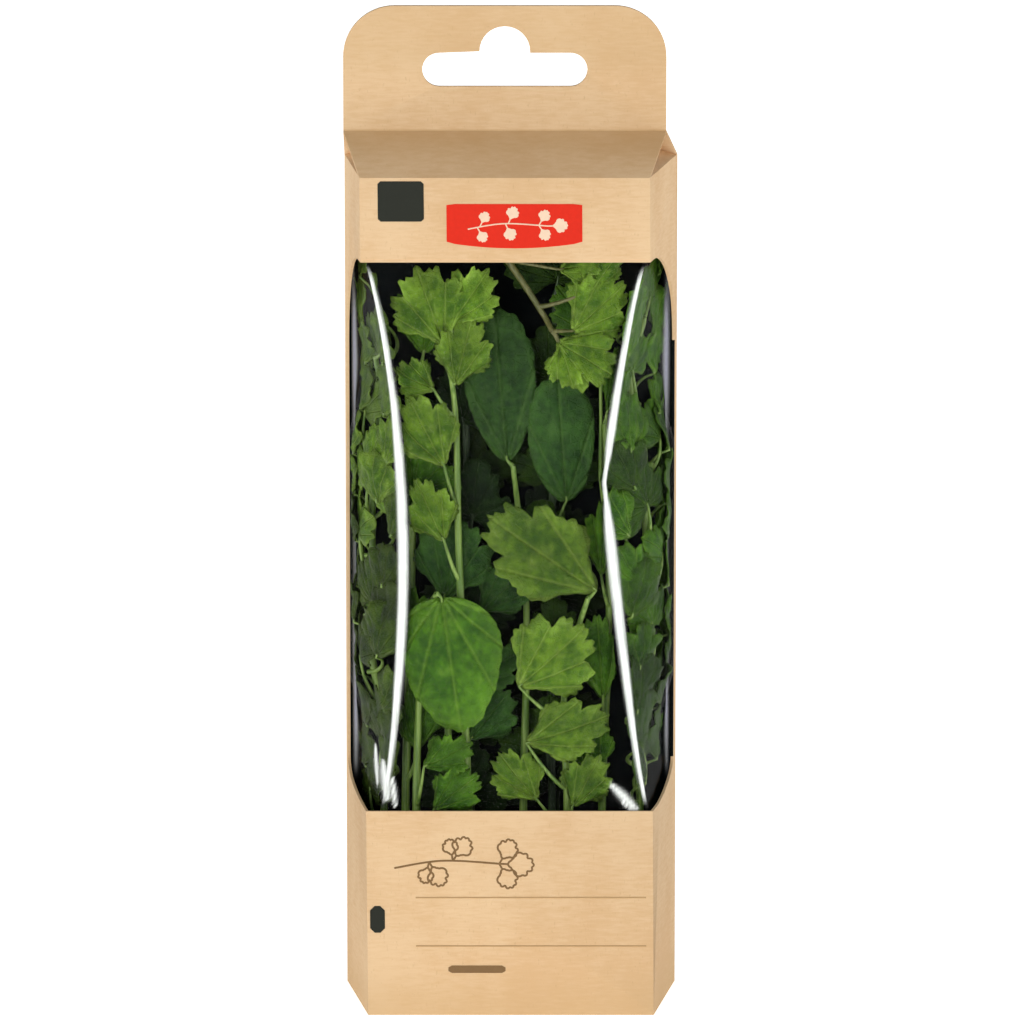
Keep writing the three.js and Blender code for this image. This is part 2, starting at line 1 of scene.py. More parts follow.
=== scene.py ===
# %% [markdown]
# # A bunch of coriander in a windowed carton
#
# The real thing is a slim pack made of kraft board, with cut coriander stems standing inside it. A clear
# film closes a window that runs round the front and both sides, and a flat header with a hanging slot tops
# it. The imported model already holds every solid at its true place. Here each one gets its fine surface:
# bevelled board, thin creased film, and leaves with veins, waves and toothed rims.

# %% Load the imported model
import math

import bpy
import numpy as np
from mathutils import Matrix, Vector


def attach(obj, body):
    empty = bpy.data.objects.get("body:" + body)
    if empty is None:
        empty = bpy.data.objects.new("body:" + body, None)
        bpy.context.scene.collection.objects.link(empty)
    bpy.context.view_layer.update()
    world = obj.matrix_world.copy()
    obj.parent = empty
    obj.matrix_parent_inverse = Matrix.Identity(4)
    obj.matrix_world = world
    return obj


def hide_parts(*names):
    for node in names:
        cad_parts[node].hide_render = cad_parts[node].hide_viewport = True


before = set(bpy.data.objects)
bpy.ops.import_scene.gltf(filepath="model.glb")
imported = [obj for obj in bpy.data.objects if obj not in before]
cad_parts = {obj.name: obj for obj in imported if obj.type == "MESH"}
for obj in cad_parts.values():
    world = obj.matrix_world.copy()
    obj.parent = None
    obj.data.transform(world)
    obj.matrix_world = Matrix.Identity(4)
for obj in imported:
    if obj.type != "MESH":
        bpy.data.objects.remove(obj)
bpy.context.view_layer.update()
bpy.context.scene.view_settings.view_transform = "Standard"

# %% [markdown]
# Modelling values are in millimetres, as a carton maker writes them, and Blender's are in metres, so one
# factor joins the two. The sizes below are the pack's own, the same as those that its solids were made from.

# %% Sizes of the pack
MM = 0.001
BOARD = 0.5
BODY_HEIGHT = 167
BACK_HALF = 32.5
FRONT_HALF = 28
PACK_DEPTH = 26
LEAN = 1.2
HEADER_FOOT = 174
FILM_BULGE = 2.5
Y_BACK = (PACK_DEPTH + FILM_BULGE) / 2
Y_FRONT = Y_BACK - PACK_DEPTH
Y_HEADER = (Y_FRONT + Y_BACK) / 2
WINDOW_FOOT = 41.2
WINDOW_HEAD = 150.4
print("carton:", 2 * BACK_HALF, "mm wide,", PACK_DEPTH, "deep,", BODY_HEIGHT, "to its shoulder")

# %% [markdown]
# A few helpers keep the steps short. Operators act on all that is selected, and loading the model leaves its
# nodes selected, so every step starts by selecting one piece alone.

# %% Helpers for pieces
def only(piece):
    bpy.ops.object.select_all(action="DESELECT")
    piece.select_set(True)
    bpy.context.view_layer.objects.active = piece


def named(name):
    piece = bpy.context.active_object
    piece.name = name
    piece.data.name = name
    return piece


def finish_with(piece, kind, **settings):
    """Adds one modifier and applies it."""
    only(piece)
    modifier = piece.modifiers.new(kind.title(), kind)
    for name, value in settings.items():
        setattr(modifier, name, value)
    bpy.ops.object.modifier_apply(modifier=modifier.name)


def joined(pieces, name):
    only(pieces[0])
    for piece in pieces:
        piece.select_set(True)
    bpy.ops.object.join()
    return named(name)


# %% Helpers for points
def points_of(piece):
    """The mesh's points in millimetres, one row each."""
    flat = np.zeros(len(piece.data.vertices) * 3)
    piece.data.vertices.foreach_get("co", flat)
    return flat.reshape(-1, 3) / MM


def move_points(piece, points):
    piece.data.vertices.foreach_set("co", (np.asarray(points) * MM).ravel())
    piece.data.update()


def give(piece, name, values):
    """Gives each point of a piece a number that its finish can read."""
    layer = piece.data.attributes.new(name, "FLOAT", "POINT")
    layer.data.foreach_set("value", np.asarray(values).astype(np.float32))


def face_out(piece):
    only(piece)
    bpy.ops.object.mode_set(mode="EDIT")
    bpy.ops.mesh.select_all(action="SELECT")
    bpy.ops.mesh.normals_make_consistent(inside=False)
    bpy.ops.object.mode_set(mode="OBJECT")


def smooth_step(value, low, high):
    t = np.clip((value - low) / (high - low), 0, 1)
    return t * t * (3 - 2 * t)


# %% [markdown]
# ## Shader maths
#
# A finish is easier to read as a formula than as a web of nodes. `Wire` wraps the output of a node and gives
# it the usual operators, so that `1 - mask` adds a Math node by itself. Every other node comes from
# `Finish.node`, which takes its type, its settings and what feeds its sockets.

# %% Wires
class Wire:
    """The output of a node, used like a number."""

    def __init__(self, finish, socket):
        self.finish = finish
        self.socket = socket

    def maths(self, operation, *values):
        inputs = dict(enumerate(values))
        return self.finish.node("ShaderNodeMath", {"operation": operation}, inputs)

    def __add__(self, other):
        return self.maths("ADD", self, other)

    def __sub__(self, other):
        return self.maths("SUBTRACT", self, other)

    def __mul__(self, other):
        return self.maths("MULTIPLY", self, other)

    def __truediv__(self, other):
        return self.maths("DIVIDE", self, other)

    def __pow__(self, other):
        return self.maths("POWER", self, other)

    def __rsub__(self, other):
        return self.maths("SUBTRACT", other, self)

    def __abs__(self):
        return self.maths("ABSOLUTE", self)

    __radd__ = __add__
    __rmul__ = __mul__

    def fade(self, low, high):
        """0 below low, 1 above high, and a soft step between them."""
        settings = {"interpolation_type": "SMOOTHSTEP"}
        inputs = {"Value": self, "From Min": low, "From Max": high}
        return self.finish.node("ShaderNodeMapRange", settings, inputs)


# %% Finishes
class Finish:
    """A material that is built from wires."""

    def __init__(self, name):
        self.material = bpy.data.materials.new(name)
        self.material.use_nodes = True
        self.tree = self.material.node_tree
        self.surface = self.tree.nodes["Principled BSDF"]
        self.output = self.tree.nodes["Material Output"]

    def node(self, kind, settings=None, inputs=None, output=0):
        made = self.tree.nodes.new(kind)
        for name, value in (settings or {}).items():
            setattr(made, name, value)
        for name, value in (inputs or {}).items():
            self.feed(made.inputs[name], value)
        return Wire(self, made.outputs[output])

    def feed(self, socket, value):
        if isinstance(value, Wire):
            self.tree.links.new(value.socket, socket)
        elif isinstance(value, tuple) and len(value) == 3 and socket.type == "RGBA":
            socket.default_value = (*value, 1)
        else:
            socket.default_value = value

    def set(self, **values):
        """Feeds the main shader; an underscore in a name stands for a space."""
        for name, value in values.items():
            self.feed(self.surface.inputs[name.replace("_", " ")], value)

    def place(self, *stretch):
        """Object coordinates in millimetres, stretched along each axis."""
        where = self.node("ShaderNodeTexCoord", output="Object")
        scale = tuple(s / MM for s in (stretch or (1, 1, 1)))
        return self.node("ShaderNodeMapping", {"vector_type": "POINT"}, {"Vector": where, "Scale": scale})

    def noise(self, where, scale, detail=3, roughness=0.55):
        inputs = {"Vector": where, "Scale": scale, "Detail": detail, "Roughness": roughness}
        return self.node("ShaderNodeTexNoise", None, inputs)

    def blend(self, share, first, second, kind="MIX"):
        settings = {"data_type": "RGBA", "blend_type": kind}
        inputs = {0: share, 6: first, 7: second}
        return self.node("ShaderNodeMix", settings, inputs, output=2)

    def bump(self, height, distance, strength=1.0):
        inputs = {"Height": height, "Distance": distance, "Strength": strength}
        self.set(Normal=self.node("ShaderNodeBump", None, inputs))


# %% Colours
def srgb(*colour):
    """Red, green and blue as a screen shows them, 0 to 255, turned into light."""
    return tuple(((c / 255 + 0.055) / 1.055) ** 2.4 if c > 10 else c / 255 / 12.92 for c in colour)


# %% [markdown]
# ## Camera, light and floor
#
# The pack is seen straight from the front and a little from above through a long lens, so its sides hardly
# converge. The camera comes first, since every later choice is judged through it. Soft light comes mostly
# from the front and low down: the shoulder that slopes away from it then falls darker than the front panel.
# Weak boxes at the sides, above and behind keep the other sides clear.

# %% Camera
ELEVATION = math.radians(12.4)
DISTANCE = 2.0
FRAME_WIDTH = 0.2
AIM = Vector((0.2, 0, 98.5)) * MM

bpy.ops.object.camera_add()
camera = named("camera")
camera.data.sensor_width = 36
camera.data.lens = camera.data.sensor_width * DISTANCE / FRAME_WIDTH
camera.data.clip_start = 0.1
camera.data.clip_end = 100
back = Vector((0, -math.cos(ELEVATION), math.sin(ELEVATION)))
camera.location = AIM + back * DISTANCE
camera.rotation_euler = (math.pi / 2 - ELEVATION, 0, 0)
bpy.context.scene.camera = camera
print("camera at", [round(place, 3) for place in camera.location])


# %% Softboxes and surroundings
def softbox(name, place, power, width, height, aim=(0, 0, 0.1)):
    bpy.ops.object.light_add(type="AREA", location=place)
    light = named(name)
    light.data.shape = "RECTANGLE"
    light.data.size = width
    light.data.size_y = height
    light.data.energy = power
    light.rotation_mode = "QUATERNION"
    light.rotation_quaternion = (Vector(place) - Vector(aim)).to_track_quat("Z", "Y")
    return light


softbox("front_softbox", (-0.42, -1.27, 0.42), 5.9, 0.5, 0.36)
softbox("left_softbox", (-1.0, -0.45, 0.35), 0.9, 0.3, 0.8)
softbox("right_softbox", (1.0, -0.5, 0.35), 2.7, 0.3, 0.8)
softbox("high_softbox", (0.1, 0.5, 1.3), 0.85, 0.9, 0.6)
softbox("back_softbox", (0.3, 1.3, 0.5), 2.0, 0.5, 0.5)

world = bpy.data.worlds.new("studio")
bpy.context.scene.world = world
world.use_nodes = True
background = world.node_tree.nodes["Background"]
background.inputs["Color"].default_value = (0.86, 0.92, 1.0, 1)
background.inputs["Strength"].default_value = 0.26

# %% Floor
FLOOR_SIZE = 12

bpy.ops.mesh.primitive_plane_add(size=FLOOR_SIZE)
floor = named("floor")
white = Finish("studio_white")
white.set(Base_Color=(0.93, 0.93, 0.93), Roughness=0.7)
white.surface.inputs["Emission Color"].default_value = (1, 0.985, 0.965, 1)
white.surface.inputs["Emission Strength"].default_value = 0.8
floor.data.materials.append(white.material)
print("floor:", FLOOR_SIZE, "m wide")

# %% [markdown]
# ## The kraft board
#
# Kraft board is unbleached: straw brown, cloudy from its pulp, with short fibres along its grain. It has no
# gloss. The colour is a mix of two browns by a slow cloud and by stretched noise for the fibres, and the
# same fibres raise a faint relief. Painted shade makes the shoulder slope a shade darker towards the fold
# under the header, where little light gets in, and makes the foot and the head a little darker.

# %% Kraft finish
KRAFT_LIGHT = srgb(228, 194, 150)
KRAFT_DARK = srgb(217, 178, 131)
FIBRE_DARK = srgb(180, 138, 90)
FOLD_SHADE = srgb(186, 142, 84)
# Painted shade at the foot and the head of the board: its colour, and how far it reaches.
SHADE_BROWN = srgb(200, 166, 118)
SHADE_FOOT = 12
SHADE_HEAD = 182
SHADE_EASE = 8


def kraft(name):
    paper = Finish(name)
    cloud = paper.noise(paper.place(1, 1, 0.6), 0.05, detail=5)
    grain = paper.noise(paper.place(0.35, 0.35, 2.2), 0.9, detail=4, roughness=0.65)
    speck = paper.noise(paper.place(2.4, 2.4, 0.8), 1.3, detail=2)
    brown = paper.blend((cloud * 0.6 + grain * 0.4).fade(0.36, 0.64), KRAFT_LIGHT, KRAFT_DARK)
    brown = paper.blend(speck.fade(0.62, 0.78) * 0.28, brown, FIBRE_DARK)
    level = paper.node("ShaderNodeSeparateXYZ", None, {0: paper.place()}, output="Z")
    depth = paper.node("ShaderNodeSeparateXYZ", None, {0: paper.place()}, output="Y")
    header = level.fade(HEADER_FOOT, HEADER_FOOT + 0.5)
    seam = (1 - abs(depth - Y_HEADER).fade(0.05, 0.1)) * header
    brown = paper.blend(level.fade(BODY_HEIGHT, HEADER_FOOT - 0.5) * (1 - header) * 0.42, brown, FOLD_SHADE)
    # Painted shade: the foot and the head of the board are painted a little darker.
    foot_head_shade = (1 - level.fade(0, SHADE_FOOT)) * 0.5 + level.fade(SHADE_HEAD, SHADE_HEAD + SHADE_EASE) * 0.35
    brown = paper.blend(foot_head_shade, brown, SHADE_BROWN)
    paper.set(Base_Color=paper.blend(seam, brown, FIBRE_DARK), Roughness=0.72 + grain * 0.2)
    paper.bump(grain * 0.6 + speck * 0.4, distance=0.00006, strength=0.6)
    return paper.material


# %% [markdown]
# The inside of the board is in deep shade behind the leaves and reads almost black with a cold tint, so it
# has a finish of its own: the same fibres, much darker.

# %% Shaded inside of the board
def shaded_board():
    inside = Finish("board_inside")
    cloud = inside.noise(inside.place(), 0.12, detail=4)
    inside.set(Base_Color=inside.blend(cloud, srgb(6, 10, 12), srgb(16, 22, 22)), Roughness=0.95)
    inside.set(Specular_IOR_Level=0.1)
    return inside.material


# %% [markdown]
# The solid carton is right in all its sizes, but its folds are knife sharp. A copy of its mesh is merged,
# its flat faces are joined, and each fold gets a small bevel, as board that is folded along a pressed line
# has. Faces that look into the pack take the shaded finish.

# %% Carton
FOLD_ROUND = 0.2
FOLD_ANGLE = math.radians(24)
FLAT_ANGLE = math.radians(0.6)
SMALLEST_WALL = 3

board = bpy.data.objects.new("carton_board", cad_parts["carton"].data.copy())
bpy.context.collection.objects.link(board)
only(board)
bpy.ops.object.mode_set(mode="EDIT")
bpy.ops.mesh.select_all(action="SELECT")
bpy.ops.mesh.remove_doubles(threshold=1e-6)
bpy.ops.mesh.dissolve_limited(angle_limit=FLAT_ANGLE)
bpy.ops.object.mode_set(mode="OBJECT")
finish_with(
    board, "BEVEL", width=FOLD_ROUND * MM, segments=2, limit_method="ANGLE",
    angle_limit=FOLD_ANGLE, use_clamp_overlap=True, harden_normals=False,
)
board.data.materials.clear()
board.data.materials.append(kraft("kraft_board"))
board.data.materials.append(shaded_board())
for face in board.data.polygons:
    x, y, z = face.center / MM
    wall = FRONT_HALF + (BACK_HALF - FRONT_HALF) * (y - Y_FRONT) / PACK_DEPTH
    towards_middle = Vector((-x, (Y_FRONT + Y_BACK) / 2 - y, 0))
    flat = face.normal.z * face.normal.z < 0.5
    deep = abs(x) < wall - 0.3 * BOARD and Y_FRONT + 0.3 < y < Y_BACK - 0.3 and z < BODY_HEIGHT
    if deep and flat and face.normal.dot(towards_middle) > 0 and face.area > (SMALLEST_WALL * MM) ** 2:
        face.material_index = 1
only(board)
bpy.ops.object.shade_smooth_by_angle(angle=FOLD_ANGLE)
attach(board, "root")
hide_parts("carton")
print("carton faces:", len(board.data.polygons))


# %% [markdown]
# ## The clear film
#
# One sheet of film is glued behind the board's window. It runs along the left wall, turns in a pressed
# fold, bows forward over the leaves, turns again and runs back along the right wall. It starts here as a
# flat grid, which is then wrapped: each column keeps its place along the sheet, each row its height. The
# folds are rounded by averaging the sheet over a short stretch.

# %% Sizes of the film
FILM_THICK = 0.08
FILM_OVERLAP = 5
FOLD_INSET = 0.75
END_INSET = 1.2
PINCH_LEFT = 6.6
PINCH_RIGHT = 8.3
FOOT_PINCH = 2
KINK_SHARE = 0.6
SIDE_SWELL = 4
SWELL_SHARE = 0.53
LIP_SHARE = 0.1
SWELL_FOOT, SWELL_HEAD, SWELL_EASE = 50, 128, 20
FULLNESS = 0.8
GLUE_GAP = BOARD + 0.35
Y_FOLD = Y_FRONT + GLUE_GAP


# %% Rules of the film's shape
def share_of_window(z):
    return np.clip((z - WINDOW_FOOT) / (WINDOW_HEAD - WINDOW_FOOT), 0, 1)


def mid_swell(z):
    return np.sin(math.pi * share_of_window(z)) ** FULLNESS


def kinked(z):
    share = share_of_window(z)
    return np.minimum(share / KINK_SHARE, (1 - share) / (1 - KINK_SHARE)) ** FULLNESS


def fold_x(side, z):
    if side < 0:
        pinch = PINCH_LEFT * mid_swell(z) + FOOT_PINCH * (1 - share_of_window(z)) ** 4
    else:
        pinch = PINCH_RIGHT * kinked(z)
    return side * (FRONT_HALF - FOLD_INSET - pinch) - LEAN * z / BODY_HEIGHT


def side_bow(side, z, share):
    """How far the side film bows out, at a share of its run from its back edge (0) to the fold (1)."""
    low = smooth_step(z, SWELL_FOOT, SWELL_FOOT + SWELL_EASE)
    high = 1 - smooth_step(z, SWELL_HEAD - SWELL_EASE, SWELL_HEAD)
    swell = SIDE_SWELL + SWELL_SHARE * (FRONT_HALF - FOLD_INSET - np.abs(fold_x(side, z)))
    free = np.clip((share - LIP_SHARE) / (1 - LIP_SHARE), 0, 1)
    return swell * low * high * np.sin(math.pi * free) * np.sqrt(1 - free)


def side_film(side, z, share):
    """Point of the side film at a height and a share of its run."""
    x_end = side * (BACK_HALF - END_INSET)
    y_end = Y_BACK - GLUE_GAP
    x = x_end + (fold_x(side, z) - x_end) * share + side * side_bow(side, z, share)
    return x, y_end + (Y_FOLD - y_end) * share


def front_film(z, share):
    """Point of the front film at a height, from the left fold (0) to the right one (1)."""
    depth = (GLUE_GAP + FILM_BULGE) * mid_swell(z)
    left, right = fold_x(-1, z), fold_x(1, z)
    return left + (right - left) * share, Y_FOLD - depth * np.sin(math.pi * share)


# %% [markdown]
# A real film isn't smooth: it carries fine ripples that run away from the folds, and these break up what it
# reflects. They are a sum of slanted waves, strongest near the folds and near the ends of the window. Where
# the film is sharply bent it turns white: along both folds, where it also carries a painted highlight, the
# bright strip that a rounded fold mirrors from the softboxes, and in a few short wrinkles at the window's
# lower corners, painted as glints. Faintly along its outer edges lies a painted reflection of the room. Two
# attributes of the mesh tell the finish where.

# %% Flat film
FILM_COLUMNS = 230
FILM_ROWS = 180
SIDE_LENGTH = 26.5
FRONT_LENGTH = 48
# Short wrinkles at the window's lower corners, pressed white with painted glints: each runs from one end to
# the other and has a half width.
WRINKLE_GLINTS = [
    (19.6, 46.4, 24.6, 41.3, 0.62),
    (-25.0, 50.0, -24.2, 43.5, 0.8),
    (-23.2, 47.5, -22.6, 42.0, 0.35),
    (-26.6, 52.0, -26.2, 45.0, 0.35),
    (21.5, 43.2, 24.0, 41.0, 0.3),
]

bpy.ops.object.select_all(action="DESELECT")
bpy.ops.mesh.primitive_grid_add(x_subdivisions=FILM_COLUMNS, y_subdivisions=FILM_ROWS, size=1)
film = named("film_window")
flat = points_of(film) * MM
along = flat[:, 0] + 0.5
film_z = WINDOW_FOOT - FILM_OVERLAP + (flat[:, 1] + 0.5) * (WINDOW_HEAD - WINDOW_FOOT + 2 * FILM_OVERLAP)


# %% Wrap the film
def sheet_point(z, run):
    """Point of the film at a run along it in millimetres, counted from the middle of the front."""
    front = np.clip(run / FRONT_LENGTH + 0.5, 0, 1)
    x, y = front_film(z, front)
    for side in (-1, 1):
        beyond = side * run - FRONT_LENGTH / 2
        x_side, y_side = side_film(side, z, np.clip(1 - beyond / SIDE_LENGTH, 0, 1))
        x = np.where(beyond > 0, x_side, x)
        y = np.where(beyond > 0, y_side, y)
    return x, y


run = (along - 0.5) * (FRONT_LENGTH + 2 * SIDE_LENGTH)
window_share = share_of_window(film_z)
FOLD_ROUNDING = 0.9
TAPS = 9
rounding = FOLD_ROUNDING * np.sin(math.pi * window_share) ** 0.5
x = np.zeros(len(run))
y = np.zeros(len(run))
for tap in np.linspace(-1, 1, TAPS):
    x_tap, y_tap = sheet_point(film_z, np.clip(run + tap * rounding, run.min(), run.max()))
    x += x_tap / TAPS
    y += y_tap / TAPS
print("film wrapped:", round(np.ptp(x), 1), "mm wide,", round(np.ptp(y), 1), "deep")

# %% Ripple the film
RIPPLE = 0.1
FOLD_REACH = 9
END_REACH = 0.12

from_fold = np.abs(np.abs(run) - FRONT_LENGTH / 2)
near_fold = np.exp(-((from_fold / FOLD_REACH) ** 2))
near_end = np.exp(-((np.minimum(window_share, 1 - window_share) / END_REACH) ** 2))
slant = np.where(run < 0, 1, -1) * run
wave = (
    np.sin(0.9 * film_z + 0.7 * slant)
    + 0.7 * np.sin(0.47 * film_z - 1.1 * slant + 1)
    + 0.5 * np.sin(1.7 * film_z + 0.35 * slant + 2)
)
inside_window = np.sin(math.pi * window_share)
ripple = RIPPLE * wave * (0.25 + 0.6 * near_fold + 0.5 * near_end) * inside_window**0.6
front_part = smooth_step(FRONT_LENGTH / 2 + 2 - np.abs(run), 0, 4)
y += ripple * front_part
move_points(film, np.stack([x, y, film_z], axis=1))
print("highest ripple:", round(np.abs(ripple * front_part).max(), 2), "mm")


# %% Where the film is pressed white, with painted highlights, glints and reflections
def near_line(x0, z0, x1, z1, half):
    """1 on a short line on the film, fading to 0 at its half width and its ends."""
    dx, dz = x1 - x0, z1 - z0
    share = np.clip(((x - x0) * dx + (film_z - z0) * dz) / (dx * dx + dz * dz), 0, 1)
    off = np.hypot(x - x0 - share * dx, film_z - z0 - share * dz)
    return np.exp(-((off / (half * (0.45 + 0.55 * np.sin(math.pi * share)))) ** 2))


# Heights, place and width of the painted reflection along the film's outer edges.
RIM_REFLECTION_HIGH = (112, 124, 134, 146)
RIM_REFLECTION_LOW = (46, 56, 70, 84)
RIM_REFLECTION_SHARE = 0.92
RIM_REFLECTION_WIDTH = 0.06

# The pressed white along each fold also holds a painted highlight: its width follows the bright strips, and
# it narrows at the right fold's kink.
narrowing = 1 - 0.72 * np.exp(-(((window_share - KINK_SHARE) / 0.07) ** 2)) * (run > 0)
half_width = (0.42 + 0.75 * inside_window) * narrowing
pressed_white_and_highlight_mask = np.exp(-((from_fold / half_width) ** 4)) * smooth_step(inside_window, 0.02, 0.14)
for wrinkle_glint in WRINKLE_GLINTS:
    pressed_white_and_highlight_mask = np.maximum(pressed_white_and_highlight_mask, 0.8 * near_line(*wrinkle_glint))
side_share = (np.abs(run) - FRONT_LENGTH / 2) / SIDE_LENGTH
reflection_high = smooth_step(film_z, *RIM_REFLECTION_HIGH[:2]) * (1 - smooth_step(film_z, *RIM_REFLECTION_HIGH[2:]))
reflection_low = smooth_step(film_z, *RIM_REFLECTION_LOW[:2]) * (1 - smooth_step(film_z, *RIM_REFLECTION_LOW[2:]))
reflection_level = (0.35 + 0.65 * np.maximum(reflection_high, reflection_low)) * smooth_step(inside_window, 0.02, 0.14)
painted_rim_reflection = np.exp(-(((side_share - RIM_REFLECTION_SHARE) / RIM_REFLECTION_WIDTH) ** 2)) * reflection_level
give(film, "pressed_white_and_highlight", pressed_white_and_highlight_mask)
give(film, "painted_rim_reflection", painted_rim_reflection)
face_out(film)
finish_with(film, "SOLIDIFY", thickness=FILM_THICK * MM, offset=-1)
only(film)
bpy.ops.object.shade_smooth()
print("share of the film that is pressed white:", round((pressed_white_and_highlight_mask > 0.5).mean(), 3))

# %% [markdown]
# Clear film shows what is behind it and mirrors a little of the room, more at a grazing angle. So it is a
# mix of a transparent and a glossy shader. A Fresnel node would turn the film's inner face into a full
# mirror, since no light is bent on its way there, so Layer Weight gives the share of mirror: it treats both
# faces alike. Along the two folds the film is pressed white and carries a painted highlight, which a third,
# white shader gives with a faint glow; the same shader paints the glints in the wrinkles and, in lavender,
# the painted reflection along the outer edges.

# %% Film finish
def clear_film():
    clear = Finish("clear_film")
    ripple = clear.noise(clear.place(1, 1, 0.4), 0.35, detail=2)
    clear.bump(ripple, distance=0.0003, strength=0.3)
    pressed_white_and_highlight = clear.node("ShaderNodeAttribute", {"attribute_name": "pressed_white_and_highlight"}, output="Fac")
    painted_rim_reflection = clear.node("ShaderNodeAttribute", {"attribute_name": "painted_rim_reflection"}, output="Fac")
    # The white shader's colour: white along the folds and wrinkles, with their painted highlights and
    # glints, and lavender for the painted reflection along the outer edges.
    clear.set(Base_Color=clear.blend(painted_rim_reflection, srgb(246, 250, 244), srgb(196, 196, 222)), Roughness=0.25)
    # Its small glow is painted light too: it makes the folds' highlight bright.
    clear.surface.inputs["Emission Color"].default_value = (1, 1, 1, 1)
    clear.surface.inputs["Emission Strength"].default_value = 0.16
    see_through = clear.node("ShaderNodeBsdfTransparent")
    bump = clear.surface.inputs["Normal"].links[0].from_socket
    gloss = clear.node("ShaderNodeBsdfGlossy", None, {"Roughness": 0.08, "Normal": Wire(clear, bump)})
    facing = clear.node("ShaderNodeLayerWeight", None, {"Blend": 0.5}, output="Facing")
    mirror = facing**4 * 0.035 + 0.0015
    sheet = clear.node("ShaderNodeMixShader", None, {0: mirror, 1: see_through, 2: gloss})
    streaks = clear.noise(clear.place(1, 1, 0.08), 1.6, detail=2).fade(0.25, 0.6)
    # How much of the white shader shows: the folds and wrinkles, pressed white with painted highlights and
    # glints, and the painted reflection along the outer edges.
    pressed = pressed_white_and_highlight * (0.62 + 0.38 * streaks) + painted_rim_reflection * 0.4
    white_fold_and_highlight = Wire(clear, clear.surface.outputs["BSDF"])
    mixed = clear.node("ShaderNodeMixShader", None, {0: pressed, 1: sheet, 2: white_fold_and_highlight})
    clear.tree.links.new(mixed.socket, clear.output.inputs["Surface"])
    return clear.material


film.data.materials.append(clear_film())
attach(film, "root")
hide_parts("window_film")
print("film faces:", len(film.data.polygons))

# %% [markdown]
# ## Leaves
#
# A coriander leaflet is a broad blade with rounded lobes and small blunt teeth, with veins that fan out
# from its base. Each one starts as a disc of rings. Its rim is pulled out to the outline, the rings follow,
# and then the blade is arched, cupped, waved along its rim and pressed in along its veins.

# %% Discs
def disc(name, spokes, rings):
    """A flat disc of rings around a centre, as a start for a leaflet."""
    bpy.ops.object.select_all(action="DESELECT")
    bpy.ops.mesh.primitive_circle_add(vertices=spokes, radius=1, fill_type="NOTHING")
    made = named(name)
    bpy.ops.object.mode_set(mode="EDIT")
    bpy.ops.mesh.select_all(action="SELECT")
    for ring in range(rings, 1, -1):
        bpy.ops.mesh.extrude_edges_move()
        bpy.ops.transform.resize(value=((ring - 1) / ring,) * 3, center_override=(0, 0, 0))
    bpy.ops.mesh.edge_face_add()
    bpy.ops.mesh.poke()
    bpy.ops.object.mode_set(mode="OBJECT")
    made.data.uv_layers.new(name="leaf")
    return made


fine_disc = disc("leaflet_disc", 96, 8)
plain_disc = disc("small_leaflet_disc", 48, 5)
print("disc faces:", len(fine_disc.data.polygons), len(plain_disc.data.polygons))

# %% [markdown]
# The outline is told by turns and reaches: how far the rim lies from the middle of the leaflet at each turn
# from its tip. Between a lobe and the notch beside it the rim runs like a quarter of a wave, blunt at the
# lobe and sharp in the notch. Small teeth are added on top of that.

# %% Outline of a leaflet
HUB = 0.38
LOBE_TURNS = np.array([0, 11, 22, 37, 54, 67, 82, 122, 150, 180])
LOBE_REACH = np.array([0.62, 0.53, 0.6, 0.4, 0.56, 0.46, 0.51, 0.31, 0.3, 0.38])
HULL_REACH = np.array([0.62, 0.61, 0.6, 0.58, 0.56, 0.53, 0.5, 0.32, 0.3, 0.38])
OLD_REACH = np.array([0.62, 0.61, 0.6, 0.56, 0.52, 0.5, 0.49, 0.46, 0.42, 0.38])
TOOTH_PITCH = 12


def rim_reach(turn, lobing, teeth, phase, hull_reach=HULL_REACH):
    """The rim's distance from the leaflet's middle, as a share of its length, at a turn in degrees."""
    turn = np.abs((turn + 180) % 360 - 180)
    i = np.clip(np.searchsorted(LOBE_TURNS, turn, side="right") - 1, 0, len(LOBE_TURNS) - 2)
    share = (turn - LOBE_TURNS[i]) / (LOBE_TURNS[i + 1] - LOBE_TURNS[i])
    first, second = LOBE_REACH[i], LOBE_REACH[i + 1]
    rising = first < second
    wave = np.where(rising, np.sin(share * math.pi / 2), 1 - np.sin((1 - share) * math.pi / 2))
    lobed = first + (second - first) * wave
    hull = hull_reach[i] + (hull_reach[i + 1] - hull_reach[i]) * share
    reach = hull + (lobed - hull) * lobing
    bite = np.abs(np.sin(math.pi * (turn / TOOTH_PITCH + phase))) - 0.5
    return reach * (1 + teeth * bite * (1 - smooth_step(turn, 95, 125)))


# %% [markdown]
# The blade's relief is worked out in its own units: across the midrib and along it from the base. It keeps
# the arch and cup of the solid leaf, and adds veins, the puffed strips between them, and the waves of the
# rim.

# %% Relief of a leaflet
VEIN_STEP = math.radians(21)


